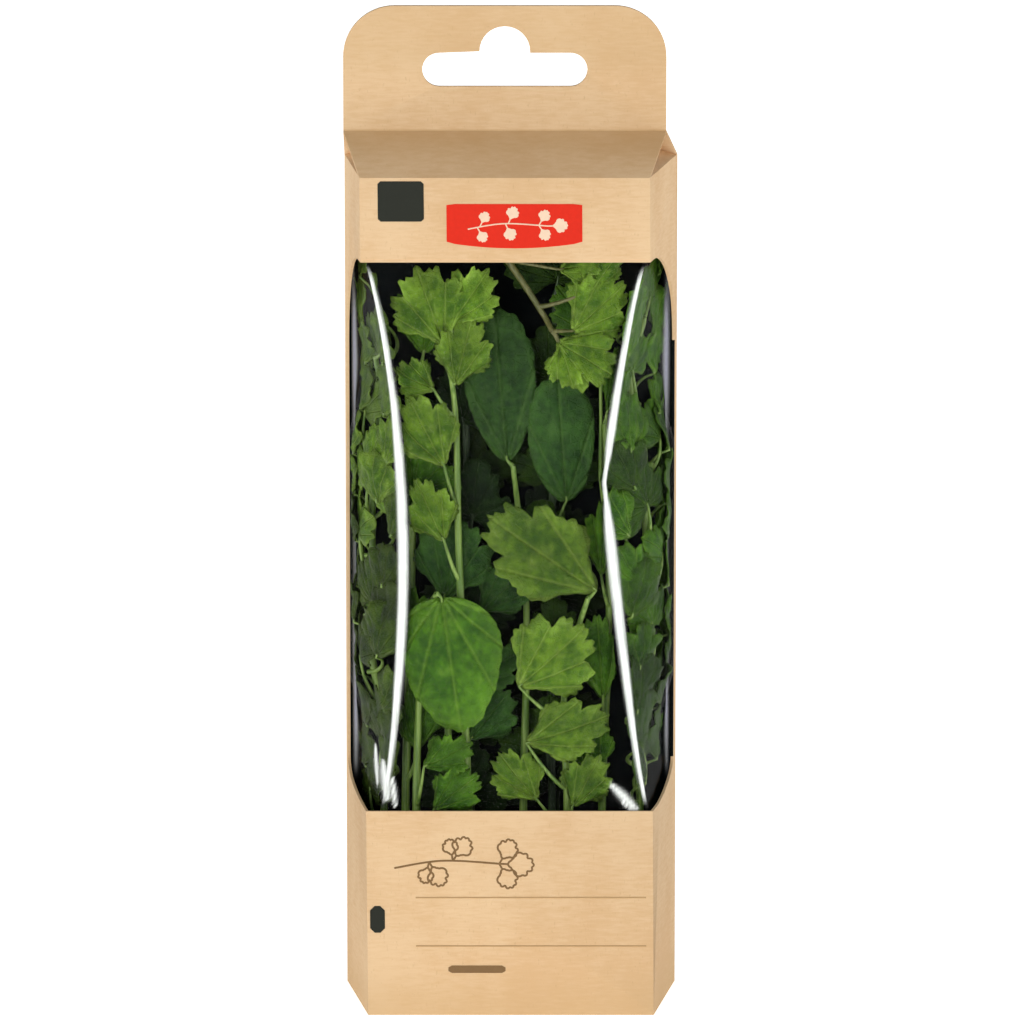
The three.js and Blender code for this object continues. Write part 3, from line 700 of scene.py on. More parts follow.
def relief(across, along, outward, long, look):
    """How far a point lies behind the blade's plane by its form, and by its fine relief, in millimetres."""
    form = -look["arch"] * np.sin(math.pi * np.clip(along, 0, 1)) + look["cup"] * (2 * across) ** 2
    turn = np.arctan2(across, along + 0.02)
    reach = np.hypot(across, along + 0.02)
    off_vein = np.abs(turn / VEIN_STEP - np.round(turn / VEIN_STEP)) * VEIN_STEP * reach * long
    form += look["fold"] * np.abs(across) * 2 - 0.3 * look["fold"]
    groove = 0.42 * np.exp(-((off_vein / 0.6) ** 2)) * (1 - 0.6 * reach)
    waves = np.sin(7 * turn + look["phase"]) + 0.6 * np.sin(13 * turn + 2 * look["phase"] + 1)
    rim = look["ruffle"] * (0.5 * waves - 0.2) * outward**3
    dent = 0.25 * np.sin(9 * across + look["phase"]) * np.sin(8 * along + 2 * look["phase"])
    return form, groove + rim + dent * look["ruffle"]


# %% [markdown]
# ## How the sprigs lie in the pack
#
# The leaves lie in layers behind the film. The rule that bends a flat sprig into its layer is the one that
# the solids follow, so the fine leaves land on their solids: the front layer swells with the film, all of
# them curl back at the sides, and what would touch the side film is pressed in.

# %% Sizes of the layers
LAST_LAYER = 4
LAYER_PITCH = 4.6
FIRST_LAYER = -8.9
FORWARD_SWELL = 2.4
FORWARD_FADE = 0.8
FORWARD_HALF = 21
STEM_SINK = 2.3
STEM_FOOT = 1.6
EDGE_CURL = 3.6
CURL_START, CURL_END = 12, 30
PRESS_GAPS = (1.5, 4.2, 6)
PRESS_RANGE = 4
SIDE_GAP = 1.8
SIDE_FOLLOW = 0.75
SIDE_FRONT = 5
SIDE_BACK = 1.6
SIDE_MIDDLE = 14.5


# %% Run of a side wall
def side_run(side, z):
    """Front fold of the side film, and the unit direction and length from there to its back edge."""
    x_fold = np.where(side < 0, fold_x(-1, z), fold_x(1, z))
    dx = side * (BACK_HALF - END_INSET) - x_fold
    dy = Y_BACK - GLUE_GAP - Y_FOLD
    length = np.hypot(dx, dy)
    return x_fold, dx / length, dy / length, length


# %% Bend a sprig into a layer
def in_layer(layer):
    def bend(x, depth, z):
        most = max(0, FORWARD_SWELL - FORWARD_FADE * layer)
        forward = most * mid_swell(z) * np.maximum(0, np.cos(math.pi * x / (2 * FORWARD_HALF)))
        edge = np.clip((np.abs(x) - CURL_START) / (CURL_END - CURL_START), 0, 1.2)
        curl = EDGE_CURL * edge**2 * (1 - layer / LAST_LAYER)
        y = depth + FIRST_LAYER + LAYER_PITCH * layer - forward + curl
        side = np.where(x < 0, -1, 1)
        x_fold, dx, dy, _ = side_run(side, z)
        gap = PRESS_GAPS[min(layer, len(PRESS_GAPS) - 1)]
        limit = np.abs(x_fold + dx / dy * np.maximum(y - Y_FOLD, 0)) - gap
        beyond = np.abs(x) - (limit - PRESS_RANGE)
        pressed = limit - PRESS_RANGE * (1 - np.tanh(beyond / PRESS_RANGE))
        return np.stack([np.where(beyond <= 0, x, side * pressed), y, z], axis=-1)

    return bend


# %% Bend a sprig along a side wall
def along_side(side, front=SIDE_FRONT, gap=SIDE_GAP, follow=SIDE_FOLLOW):
    def bend(across, depth, z):
        x_fold, dx, dy, length = side_run(side, z)
        run = np.clip(SIDE_MIDDLE + side * across, front, length - SIDE_BACK)
        inward = depth + gap
        out = follow * side_bow(side, z, 1 - run / length)
        x = x_fold + dx * run - side * (dy * inward - out)
        return np.stack([x, Y_FOLD + dy * run + side * dx * inward, z], axis=-1)

    return bend


# %% [markdown]
# ## Making one sprig
#
# A leaf is given by the place of its base, its heading in degrees from straight up, and its length. A leaf
# of three parts has a middle leaflet and one to each side. Every blade is a copy of a disc with its own
# mesh.

# %% Leaf blades
BLADE_THICK = 0.22
TREFOIL_TURN = 80
SIDE_LOBE = 0.85
USUAL_LOOK = {
    "arch": 0.7, "cup": 0.8, "fold": 0.7, "ruffle": 1.0, "lobing": 0.85, "teeth": 0.1, "shade": 1.0,
    "wide": 1, "crown": 0, "old": False,
}
rng = np.random.default_rng(11)


def blade(start, leaf, bend):
    """One leaflet, shaped from a disc and laid in the pack."""
    piece = start.copy()
    piece.data = start.data.copy()
    bpy.context.collection.objects.link(piece)
    flat = points_of(start) * MM
    outward = np.clip(np.hypot(flat[:, 0], flat[:, 1]), 0, 1)
    turn = np.degrees(np.arctan2(flat[:, 0], flat[:, 1]))
    look = {**USUAL_LOOK, **leaf}
    look["phase"] = rng.uniform(0, math.pi)
    hull_reach = OLD_REACH if look["old"] else HULL_REACH
    reach = outward * rim_reach(turn, look["lobing"], look["teeth"], look["phase"], hull_reach)
    along = HUB + np.cos(np.radians(turn)) * reach
    across = np.sin(np.radians(turn)) * reach * look["wide"] * (1 + look["crown"] * (along - 0.5))
    form, hollow = relief(across, along, outward, look["long"], look)
    depth = form + hollow
    heading = math.radians(look["heading"])
    u, v = across * look["long"], along * look["long"]
    x = look["x"] + v * math.sin(heading) + u * math.cos(heading)
    z = look["z"] + v * math.cos(heading) - u * math.sin(heading)
    move_points(piece, bend(x, depth, z))
    corners = np.zeros(len(piece.data.loops), dtype=int)
    piece.data.loops.foreach_get("vertex_index", corners)
    piece.data.uv_layers["leaf"].data.foreach_set("uv", np.stack([across, along], axis=1)[corners].ravel())
    # The leaf's random tone times its painted shade.
    tone_and_shade = look["shade"] * rng.uniform(0.86, 1.14)
    give(piece, "tone_and_shade", np.full(len(x), tone_and_shade))
    give(piece, "rim", outward)
    give(piece, "hollow", hollow)
    return piece


def three_part_leaf(start, leaf, bend):
    made = []
    for side in (-1, 0, 1):
        size = 1 if side == 0 else SIDE_LOBE
        part = {**leaf, "heading": leaf["heading"] + side * TREFOIL_TURN, "long": leaf["long"] * size}
        made.append(blade(start, {"wide": 0.78, "arch": 0.3, "cup": 0.35, "ruffle": 0.5, **part}, bend))
    return made


# %% [markdown]
# Stems and petioles are curves with a round section that tapers. A main stem follows a smooth line through a
# few points, the same line as its solid. It runs behind its leaves and comes forward only at its end.

# %% Lines and tubes
STEM_RADIUS = 0.9
PETIOLE_RADIUS = 0.5
PETIOLE_TIP = 0.22
PETIOLE_ROOT = 0.8


def smooth_line(points, count):
    """A smooth line through points, with its ends doubled, in even steps."""
    points = np.array(points, dtype=float)
    doubled = np.vstack([points[:1], points, points[-1:]])
    line = []
    for t in np.linspace(0, len(points) - 1, count):
        i = min(int(t), len(points) - 2)
        f = t - i
        before, first, second, after = doubled[i:i + 4]
        v0, v1 = (second - before) / 2, (after - first) / 2
        line.append(
            (2 * first - 2 * second + v0 + v1) * f**3
            + (-3 * first + 3 * second - 2 * v0 - v1) * f**2 + v0 * f + first
        )
    return np.array(line)


def tube(points, radii, sides=3):
    """A closed tube through points in millimetres."""
    line = bpy.data.curves.new("stem", "CURVE")
    line.dimensions = "3D"
    line.bevel_depth = MM
    line.bevel_resolution = sides
    line.use_fill_caps = True
    spline = line.splines.new("POLY")
    spline.points.add(len(points) - 1)
    for point, place, radius in zip(spline.points, points, radii):
        point.co = (*(place * MM), 1)
        point.radius = radius
    piece = bpy.data.objects.new("stem", line)
    bpy.context.collection.objects.link(piece)
    only(piece)
    bpy.ops.object.convert(target="MESH")
    return bpy.context.active_object


# %% Main stems and petioles
def main_stem(points, bend, radius=STEM_RADIUS):
    line = smooth_line(points, 60)
    share = np.linspace(0, 1, len(line))
    sunk = STEM_SINK * (1 - smooth_step(share, 0.86, 1))
    width = radius + (PETIOLE_RADIUS - radius) * share
    knots = 1 + 0.06 * np.sin(share * 40) ** 8
    return tube(bend(line[:, 0], sunk, line[:, 1]), width * knots)


def petiole(points, leaf, bend):
    """The thin stalk from the main stem to the base of a leaf."""
    line = smooth_line(points, 61)
    start, sunk = line[-1], 0
    if "springs" in leaf:
        start = line[np.argmin(np.abs(line[:, 1] - leaf["springs"]))]
        sunk = STEM_SINK
    f = np.linspace(0, 1, 12)
    x = start[0] + (leaf["x"] - start[0]) * f
    z = start[1] + (leaf["z"] - start[1]) * f**1.3
    depth = sunk * (1 - f) ** 2 + leaf.get("dip", 0) * np.sin(math.pi * f) ** 0.6
    heading = math.radians(leaf["heading"])
    x = np.append(x, leaf["x"] + math.sin(heading) * PETIOLE_ROOT)
    z = np.append(z, leaf["z"] + math.cos(heading) * PETIOLE_ROOT)
    depth = np.append(depth, -0.05)
    radii = np.linspace(PETIOLE_RADIUS, PETIOLE_TIP, len(x))
    return tube(bend(x, depth, z), radii, sides=2)


# %% [markdown]
# ## Finishes of the leaves
#
# Fresh coriander is lit green between paler veins. The veins are drawn from the leaflet's own map: they fan
# out from its base at even turns, and a net of fine ones joins them. Pale patches are a painted sheen of its
# waxy skin. Each leaf has its own tone, which also carries a painted shade of its own. Its hollows and the
# dips of its puckers are painted darker than its ridges, as shade, and leaves deep in the pack carry
# darker painted shade still, since little light reaches them.

# %% Leaf finishes
def leaf_finish(name, deep, fresh, vein):
    leaf = Finish(name)
    where = leaf.node("ShaderNodeUVMap", {"uv_map": "leaf"})
    across = leaf.node("ShaderNodeSeparateXYZ", None, {0: where}, output="X")
    along = leaf.node("ShaderNodeSeparateXYZ", None, {0: where}, output="Y") + 0.02
    reach = (across * across + along * along) ** 0.5
    turn = across.maths("ARCTAN2", across, along) / VEIN_STEP
    off_vein = abs(turn - turn.maths("ROUND", turn)) * reach * VEIN_STEP
    ribs = 1 - off_vein.fade(0.002, 0.022)
    net_inputs = {"Vector": where, "Scale": 15.0}
    net = leaf.node("ShaderNodeTexVoronoi", {"feature": "DISTANCE_TO_EDGE"}, net_inputs)
    fine = 1 - net.fade(0.0, 0.09)
    cloud = leaf.noise(leaf.place(), 0.16, detail=3)
    spot = leaf.noise(leaf.place(), 0.6, detail=4, roughness=0.62)
    tone_and_shade = leaf.node("ShaderNodeAttribute", {"attribute_name": "tone_and_shade"}, output="Fac")
    rim = leaf.node("ShaderNodeAttribute", {"attribute_name": "rim"}, output="Fac")
    green = leaf.blend((cloud * 0.55 + spot * 0.45).fade(0.36, 0.66), deep, fresh)
    hollow = leaf.node("ShaderNodeAttribute", {"attribute_name": "hollow"}, output="Fac")
    # Painted sheen: pale patches that stand for the light on the waxy skin.
    sheen = leaf.noise(leaf.place(1, 1, 0.7), 0.3, detail=4, roughness=0.6).fade(0.52, 0.74)
    green = leaf.blend(ribs * 0.4 + fine * 0.12 + sheen * 0.4, green, vein)
    green = leaf.blend((rim ** 6) * 0.4, green, vein)
    # Brightness of the leaf: its tone with its painted shade; the spot noise, partly the leaf's own mottle
    # and partly painted shade in the dips of its puckers; and painted shade in its hollows.
    lit = tone_and_shade * (0.66 + 0.68 * spot) * (1 - 0.3 * hollow)
    grey = leaf.node("ShaderNodeCombineColor", None, {0: lit, 1: lit, 2: lit})
    leaf.set(Base_Color=leaf.blend(1.0, green, grey, kind="MULTIPLY"), Roughness=0.46 + spot * 0.2)
    leaf.set(Specular_IOR_Level=0.18)
    leaf.bump(ribs * -0.55 + fine * -0.2 + spot * 1.3, distance=0.0006, strength=0.8)
    return leaf.material


# %% Three leaf greens
LEAF = {
    "light": leaf_finish("leaf_light", srgb(54, 92, 10), srgb(102, 136, 32), srgb(140, 168, 72)),
    "mid": leaf_finish("leaf_mid", srgb(36, 76, 6), srgb(72, 116, 18), srgb(104, 142, 46)),
    "dark": leaf_finish("leaf_dark", srgb(24, 56, 14), srgb(48, 84, 26), srgb(72, 106, 44)),
}


# %% Stem finishes
def stem_finish(name, green, pale):
    stem = Finish(name)
    streak = stem.noise(stem.place(1.6, 1.6, 0.06), 1.0, detail=3)
    stem.set(Base_Color=stem.blend(streak.fade(0.35, 0.65), green, pale), Roughness=0.45)
    stem.bump(streak, distance=0.00008)
    return stem.material


STEM = {
    "green": stem_finish("stem_green", srgb(84, 116, 40), srgb(132, 160, 74)),
    "brown": stem_finish("stem_brown", srgb(80, 84, 38), srgb(106, 104, 56)),
    # The deep stems are a darker copy of the green ones, for stems deep in the pack: painted shade.
    "deep": stem_finish("stem_painted_shade", srgb(34, 54, 26), srgb(58, 80, 40)),
}
print("finishes:", [finish.name for finish in (*LEAF.values(), *STEM.values())])


# %% [markdown]
# The blades of a sprig are joined and given their thickness. Then the stems join them, so that the whole
# leafy stem is one piece, as its solid is.

# %% Build a sprig
def leaf_blades(leaf, bend, start, parts):
    if leaf.get("parts", parts) == 3:
        return three_part_leaf(start, leaf, leaf.get("bend", bend))
    return [blade(start, leaf, leaf.get("bend", bend))]


def build_sprig(
    number, green, bend, stem, leaves, radius=STEM_RADIUS, stalk="green", start=fine_disc, parts=1
):
    blades = [piece for leaf in leaves for piece in leaf_blades(leaf, bend, start, parts)]
    sprig = joined(blades, f"leafy_sprig_{number:02d}")
    face_out(sprig)
    finish_with(sprig, "SOLIDIFY", thickness=BLADE_THICK * MM, offset=0)
    sprig.data.materials.clear()
    sprig.data.materials.append(LEAF[green])
    stalks = [main_stem(stem, bend, radius)]
    stalks += [petiole(stem, leaf, leaf.get("bend", bend)) for leaf in leaves]
    for piece in stalks:
        piece.data.materials.append(STEM[stalk])
    sprig = joined([sprig, *stalks], f"leafy_sprig_{number:02d}")
    bpy.ops.object.shade_smooth()
    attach(sprig, "root")
    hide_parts(f"sprig_{number:02d}")
    return sprig


# %% [markdown]
# ## Sprigs that show through the front
#
# These were placed one by one. Each leaf gives the height where it springs from its stem, and one without it
# ends the stem. Large old leaves are nearly smooth, and young ones are small, pale and ruffled.

# %% Front sprigs
SMOOTH = {"lobing": 0.12, "teeth": 0.03, "ruffle": 0.7, "old": True}
CURLY = {"lobing": 1.0, "teeth": 0.14, "ruffle": 1.7}


def leaf(x, z, heading, long, wide=1, springs=None, **look):
    told = {"x": x, "z": z, "heading": heading, "long": long, "wide": wide, **look}
    return told if springs is None else {**told, "springs": springs}


FRONT_SPRIGS = [
    ("light", 0, [(-7, STEM_FOOT), (-8.5, 45), (-10.2, 95), (-10.6, 116), (-11.5, 127)], [
        leaf(-13, 134, -20, 15.5, shade=0.94, **CURLY),
        leaf(-10.8, 126, 14, 13.5, 0.8, shade=0.94, **CURLY),
        leaf(-11.5, 138, 34, 12.5, 0.9, **CURLY),
        leaf(-15, 125, -66, 8.5, springs=119, **CURLY),
        leaf(-13, 110, -28, 15, 0.85, springs=101, shade=0.86),
        leaf(-13, 95, -25, 13, 0.8, springs=86, shade=0.9, **CURLY),
    ], {}),
    ("light", 0, [(-8, 162), (-3, 153.5), (3, 144.5), (8, 136.5)], [
        leaf(9, 134.5, 122, 13, **CURLY),
        leaf(9.6, 134, 164, 9, 0.9, **CURLY),
        leaf(12, 136.5, 48, 13.5, **CURLY),
        leaf(15.5, 144.5, 15, 9.5, springs=141, **CURLY),
        leaf(9.5, 148.5, 78, 8, springs=150, **CURLY),
    ], {"radius": 0.8, "stalk": "brown"}),
    ("light", 0, [(10, STEM_FOOT), (11, 40), (10.5, 65), (15, 83.5)], [
        leaf(16.6, 85, -54, 26, 0.68, shade=0.66),
        leaf(1.5, 66, 48, 17.5, springs=58),
        leaf(3, 54.5, 72, 17, 0.72, springs=45, shade=0.75),
        leaf(5, 43, -38, 12, 0.85, springs=36, shade=0.9, **CURLY),
        leaf(12, 41.5, 28, 11.5, 0.85, springs=34, shade=0.8, **CURLY),
    ], {}),
    ("mid", 0, [(-18, STEM_FOOT), (-18.5, 45), (-17, 75), (-14.5, 84.5)], [
        leaf(-13.5, 83.5, 172, 27, 0.76, crown=-0.35, **SMOOTH),
        leaf(-17, 49.5, 62, 10.5, 0.8, springs=42, **CURLY),
        leaf(-15, 41, 50, 11, 0.85, springs=34, **CURLY),
    ], {}),
    ("dark", 1, [(2, STEM_FOOT), (2.5, 45), (3, 80), (0.4, 109)], [
        leaf(-0.8, 110.2, -5, 30, 0.48, crown=0.75, shade=0.88, **SMOOTH),
        leaf(10.8, 102, -4, 25, 0.55, springs=86, crown=0.5, shade=1.12, **SMOOTH),
        leaf(4, 70, 58, 9, 0.9, springs=62),
    ], {}),
    ("dark", 1, [(-13, STEM_FOOT), (-12.5, 45), (-12, 70), (-13, 82)], [
        leaf(-13, 82.5, 12, 16),
        leaf(-6, 80, 48, 12.5, 0.8, springs=73),
        leaf(-9, 66, 62, 12, 0.85, springs=60),
        leaf(-8, 54, 38, 12.5, 0.85, springs=48),
    ], {}),
    ("mid", 1, [(17.5, STEM_FOOT), (18, 45), (19.5, 80), (20, 117)], [
        leaf(20.5, 119, 25, 14, 0.9),
        leaf(18, 87, 12, 15, 0.8, springs=80),
        leaf(18, 62, -4, 17, 0.6, springs=52),
        leaf(17, 134, -38, 13, 0.8, springs=96),
        leaf(17, 47, -18, 12, 0.85, springs=40),
    ], {}),
    ("mid", 1, [(-21, STEM_FOOT), (-20.5, 60), (-19, 110), (-17.5, 129)], [
        leaf(-17, 131, 4, 15, 0.95),
        leaf(-19.5, 103, -12, 12, springs=96, parts=3),
        leaf(-19, 72, -16, 13, 0.9, springs=66),
        leaf(-18, 52, -12, 13, springs=44),
    ], {}),
]

for number, (green, layer, stem, leaves, extra) in enumerate(FRONT_SPRIGS, start=1):
    build_sprig(number, green, in_layer(layer), stem, leaves, **extra)
print("front sprigs:", len(FRONT_SPRIGS))

# %% [markdown]
# ## Sprigs that fill the pack
#
# Behind the front ones the pack is full of stems with leaves of three parts. A small counter gives
# repeatable random numbers, the same ones that placed the solids, so that each fine stem covers its own
# solid. The stems along the side walls also carry young leaves that their solids leave out. They lie close
# against the side film, before and behind the stem, and fill what shows there.

# %% Repeatable numbers
class Counter:
    def __init__(self, seed):
        self.state = seed

    def draw(self):
        self.state = (self.state * 1664525 + 1013904223) % 2**32
        return self.state / 2**32

    def vary(self, spread):
        return (self.draw() * 2 - 1) * spread


# %% Plan of the fill
FILL_GREENS = ("dark", "mid", "mid", "dark", "dark", "mid", "light", "mid")
LANE_CENTRE = 8.5
LEAF_FOOT = 42
LAYER_LEAVES = {2: (18.5, 6, 11.6), 3: (25, 4, 12.8), 4: (25, 3, 12.8)}
LANE_LEAN = (0.8, 5)
LEAF_STALK = 8
SIDE_LEAF_FOOT = 45
SIDE_LEAVES = (12.8, 8, 12.4)
SIDE_LEAN = (3.4, 24)
SIDE_STAGGER = 4
DEEP_SHADE = (1.0, 1.0, 0.34, 0.2, 0.14)
SIDE_SHADE = {-1: (0.35, 0.3, 0.3, 0.4, 1.05, 1.1, 0.7, 0.5), 1: (0.4, 0.5, 0.85, 1.05, 0.5, 0.8, 1.1, 0.85)}
YOUNG_FOOT, YOUNG_HEAD, YOUNG_PITCH = 43, 138, 8.6
YOUNG_FRONT, YOUNG_BACK = 8.6, 5.2
YOUNG_WIDE = 1.05
YOUNG_STALK = 5
LOWEST_SPRING = 4
YOUNG_PLACE = {"front": 1.2, "gap": 1.1, "follow": 0.92}
YOUNG_LOOK = {"parts": 1, "cup": 0.4, "arch": 0.3, "dip": 3.5}
YOUNG_LEVELS = (40, 60, 78, 93, 104, 128, 145)
YOUNG_SHADE = {-1: (0.4, 0.3, 0.22, 0.3, 0.9, 0.75, 0.45), 1: (0.4, 0.4, 0.8, 1.0, 0.5, 1.15, 0.7)}


# %% A stem with its leaves
def leafy_stem(counter, x, foot, pitch, count, long, sway, tilt):
    """A stem and its leaves: their pitch, count and length, how far they sway from it and how they tilt."""
    top = foot + pitch * (count - 1)
    leaves = []
    for k in range(count):
        turn = 1 if k % 2 else -1
        z = foot + pitch * k + counter.vary(1.2)
        springs = None if k == count - 1 else z - LEAF_STALK
        heading = turn * tilt + counter.vary(8)
        across = x + turn * sway + counter.vary(0.8)
        leaves.append(leaf(across, z, heading, long + counter.vary(1.2), 0.78, springs))
    stem = [(x + counter.vary(1.5), STEM_FOOT), (x + counter.vary(1), top / 2), (x, top - 2)]
    return stem, leaves


# %% Young leaves of a side stem
def young_leaves(side):
    """Pairs of young leaves up a side stem, one towards the front fold and one towards the back."""
    bend = along_side(side, **YOUNG_PLACE)
    leaves = []
    for z in np.arange(YOUNG_FOOT, YOUNG_HEAD, YOUNG_PITCH):
        for across, turn in ((-side * YOUNG_FRONT, -side), (side * YOUNG_BACK, side)):
            level = z + rng.uniform(-2.2, 2.2) + (YOUNG_PITCH / 2 if turn == side else 0)
            shade = np.interp(level, YOUNG_LEVELS, YOUNG_SHADE[side]) * rng.uniform(0.75, 1.25)
            heading = turn * rng.uniform(-20, 50)
            place = across + rng.uniform(-1.6, 1.6)
            long = rng.uniform(8.5, 12.5)
            springs = max(level - YOUNG_STALK, LOWEST_SPRING)
            look = {**YOUNG_LOOK, "bend": bend, "shade": shade}
            leaves.append(leaf(place, level, heading, long, YOUNG_WIDE, springs, **look))
    return leaves


# %% Build the sprigs that fill the pack
counter = Counter(7)
number = len(FRONT_SPRIGS)
for layer in range(2, LAST_LAYER + 1):
    for side in (-1, 1):
        pitch, count, long = LAYER_LEAVES[layer]
        foot = LEAF_FOOT + (layer + (side > 0)) % 2 * pitch / 2
        stem, leaves = leafy_stem(counter, side * LANE_CENTRE, foot, pitch, count, long, *LANE_LEAN)
        for told in leaves:
            told["shade"] = DEEP_SHADE[layer]
        green = FILL_GREENS[number - len(FRONT_SPRIGS)]
        number += 1
        # The fill stems take the darker stem finish, which is painted shade.
        build_sprig(number, green, in_layer(layer), stem, leaves, stalk="deep", start=plain_disc, parts=3)
for side in (-1, 1):
    foot = SIDE_LEAF_FOOT + side * SIDE_STAGGER
    stem, leaves = leafy_stem(counter, 0, foot, *SIDE_LEAVES, *SIDE_LEAN)
    for told, shade in zip(leaves, SIDE_SHADE[side]):
        told["shade"] = shade
    green = FILL_GREENS[number - len(FRONT_SPRIGS)]
    number += 1
    leaves += young_leaves(side)
    build_sprig(number, green, along_side(side), stem, leaves, start=plain_disc, parts=3)
for start in (fine_disc, plain_disc):
    bpy.data.objects.remove(start)
print("sprigs in all:", number)

# %% [markdown]
# ## Print on the board
#
# The print is plain: a red banner with a small pale sprig, a dark patch and a dark pill, a line drawing of a
# coriander sprig, two faint rules and a bar. Each is a very thin piece on the front panel, so its edges stay
# crisp from near by.

# %% Ink
INK_RAISE = 0.06


def ink(name, colour, roughness=0.75):
    print_ink = Finish(name)
    mottle = print_ink.noise(print_ink.place(), 1.4, detail=3)
    darker = tuple(c * 0.86 for c in colour)
    print_ink.set(Base_Color=print_ink.blend(mottle, darker, colour), Roughness=roughness)
    print_ink.set(Specular_IOR_Level=0.2)
    return print_ink.material


INKS = {
    "red": ink("ink_red", srgb(228, 44, 22)),
    "dark": ink("ink_dark", srgb(42, 44, 36)),
    "brown": ink("ink_brown", srgb(134, 104, 68)),
    "faint": ink("ink_faint", srgb(192, 156, 110)),
    "cream": ink("ink_cream", srgb(246, 214, 184)),
}


print("inks:", list(INKS))


# %% Place of the print
def on_front(x, z, raised=0.0):
    """A point of the print on the front panel, which leans a little to the left with height."""
    y = np.full_like(z, Y_FRONT - INK_RAISE / 2 - raised)
    return np.stack([x - LEAN * z / BODY_HEIGHT, y, z], axis=-1)


def printed(piece, colour):
    piece.data.materials.append(INKS[colour])
    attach(piece, "root")
    return piece


# %% Boxes of ink
def printed_box(name, colour, x, z, width, height, corner=0.5, bow=0.0):
    """A flat box of ink with cut corners; its lower edge may bow down in the middle."""
    bpy.ops.object.select_all(action="DESELECT")
    bpy.ops.mesh.primitive_grid_add(x_subdivisions=16, y_subdivisions=2, size=1)
    piece = named(name)
    flat = points_of(piece) * MM
    share, level = flat[:, 0] * 2, flat[:, 1] * 2
    x_points = x + share * width / 2
    z_points = z + level * height / 2 - bow * (1 - share**2) * (level < 0)
    z_points -= level * np.clip(corner - (width / 2 - np.abs(x_points - x)), 0, corner)
    move_points(piece, on_front(x_points, z_points))
    face_out(piece)
    finish_with(piece, "SOLIDIFY", thickness=INK_RAISE * MM, offset=0)
    return printed(piece, colour)


printed_box("print_banner", "red", 1.8, 158.1, 26.2, 7.6, corner=0.2, bow=1.1)
printed_box("print_patch", "dark", -20.1, 162.4, 8.9, 7.9)
printed_box("print_pill", "dark", -26.0, 19.4, 2.9, 5.4, corner=0.9)
printed_box("print_bar", "brown", -6.6, 9.3, 11.2, 1.5, corner=0.4)

# %% [markdown]
# The drawings are made of lines of an even width, like pen strokes. Each line is a tube, pressed nearly
# flat against the board. A leaflet is drawn by the same outline as the real ones, and one for the banner is
# filled.

# %% Lines of ink
LINE_FLATNESS = 0.25


def drawn(name, colour, lines, raised=0.0):
    """Ink lines on the front panel, each given by its points and half width."""
    pieces = []
    for line, half in lines:
        line = np.array(line, dtype=float)
        pieces.append(tube(on_front(line[:, 0], line[:, 1], raised), np.full(len(line), half), sides=1))
    piece = joined(pieces, name)
    points = points_of(piece)
    level = Y_FRONT - raised
    points[:, 1] = level + (points[:, 1] - level) * LINE_FLATNESS
    move_points(piece, points)
    return printed(piece, colour)


# %% Outlines of drawn leaflets
def leaf_outline(x, z, heading, long, count=72):
    """The rim of a leaflet as a line, in even turns from its base and back to it."""
    turns = np.linspace(-180, 180, count + 1)
    reach = rim_reach(turns, 0.8, 0.0, 0.0) * long
    u = np.sin(np.radians(turns)) * reach * 0.95
    v = HUB * long + np.cos(np.radians(turns)) * reach
    a = math.radians(heading)
    return np.stack([x + v * math.sin(a) + u * math.cos(a), z + v * math.cos(a) - u * math.sin(a)], axis=1)


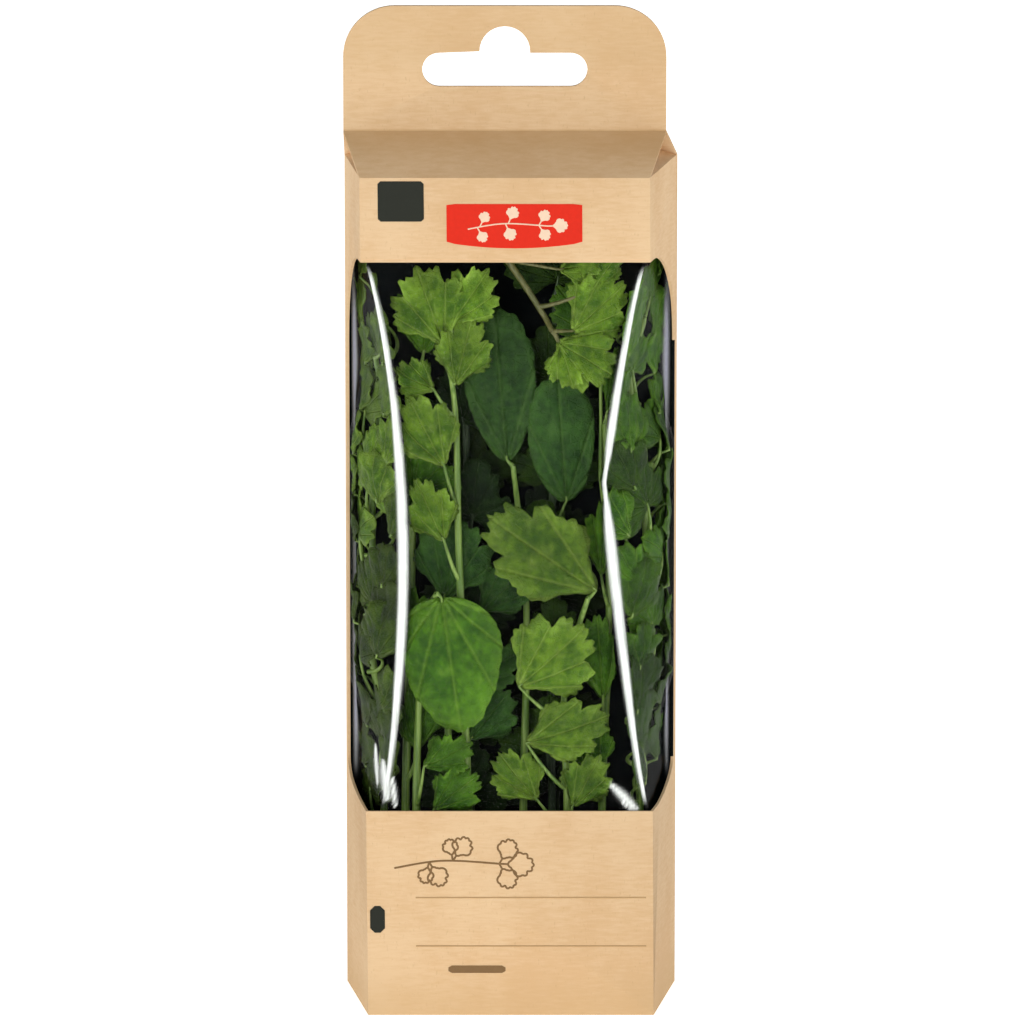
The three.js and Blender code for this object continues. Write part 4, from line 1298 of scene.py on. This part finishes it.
def line_sprig(x, z, size, half, leaflets, filled=False):
    """Lines of a sprig that lies to the right. A leaflet has a place on the stem, a heading and a length."""
    stem = smooth_line([(x, z - 0.04 * size), (x + 0.45 * size, z + 0.03 * size), (x + size, z)], 30)
    lines, rims = [(stem, half)], []
    for share, heading, long in leaflets:
        start = stem[int(share * (len(stem) - 1))]
        a = math.radians(heading)
        base = start + np.array([math.sin(a), math.cos(a)]) * 0.06 * size
        lines.append(([start, base], half))
        rims.append(leaf_outline(*base, heading, long * size))
    return (lines, rims) if filled else (lines + [(rim, half) for rim in rims], [])


# %% Filled leaflets
def filled_leaflet(rim, raised):
    """A leaflet of solid ink."""
    bpy.ops.object.select_all(action="DESELECT")
    bpy.ops.mesh.primitive_circle_add(vertices=len(rim) - 1, fill_type="TRIFAN")
    piece = named("leaflet_ink")
    turn = np.degrees(np.arctan2(points_of(piece)[:, 0], points_of(piece)[:, 1]))
    spoke = np.round((turn + 180) / 360 * (len(rim) - 1)).astype(int)
    centre = np.hypot(*points_of(piece)[:, :2].T) < 1
    flat = np.where(centre[:, None], rim.mean(axis=0), rim[spoke])
    move_points(piece, on_front(flat[:, 0], flat[:, 1], raised))
    face_out(piece)
    finish_with(piece, "SOLIDIFY", thickness=INK_RAISE * MM, offset=0)
    return piece


# %% Draw both sprigs and the rules
BANNER_LEAFLETS = [
    (1.0, 88, 0.19), (0.88, 30, 0.16), (0.88, 148, 0.16), (0.58, 22, 0.17), (0.53, 156, 0.17),
    (0.24, 26, 0.15), (0.19, 152, 0.15),
]
SPRIG_LEAFLETS = [
    (1.0, 92, 0.24), (0.97, 30, 0.2), (0.97, 152, 0.2), (0.62, 34, 0.2), (0.62, 350, 0.15),
    (0.4, 150, 0.2), (0.4, 194, 0.15),
]
banner_lines, banner_rims = line_sprig(-7.2, 157.6, 15.5, 0.15, BANNER_LEAFLETS, filled=True)
banner_sprig = drawn("print_banner_sprig", "cream", banner_lines, INK_RAISE)
banner_leaflets = [filled_leaflet(rim, INK_RAISE) for rim in banner_rims]
for piece in banner_leaflets:
    piece.data.materials.append(INKS["cream"])
joined([banner_sprig, *banner_leaflets], "print_banner_sprig")
drawn("print_sprig", "brown", line_sprig(-22.6, 30.6, 21.0, 0.22, SPRIG_LEAFLETS)[0])
drawn("print_rules", "faint", [([(-18.5, 23.8), (26.6, 23.8)], 0.17), ([(-18.5, 14.0), (26.6, 14.0)], 0.17)])
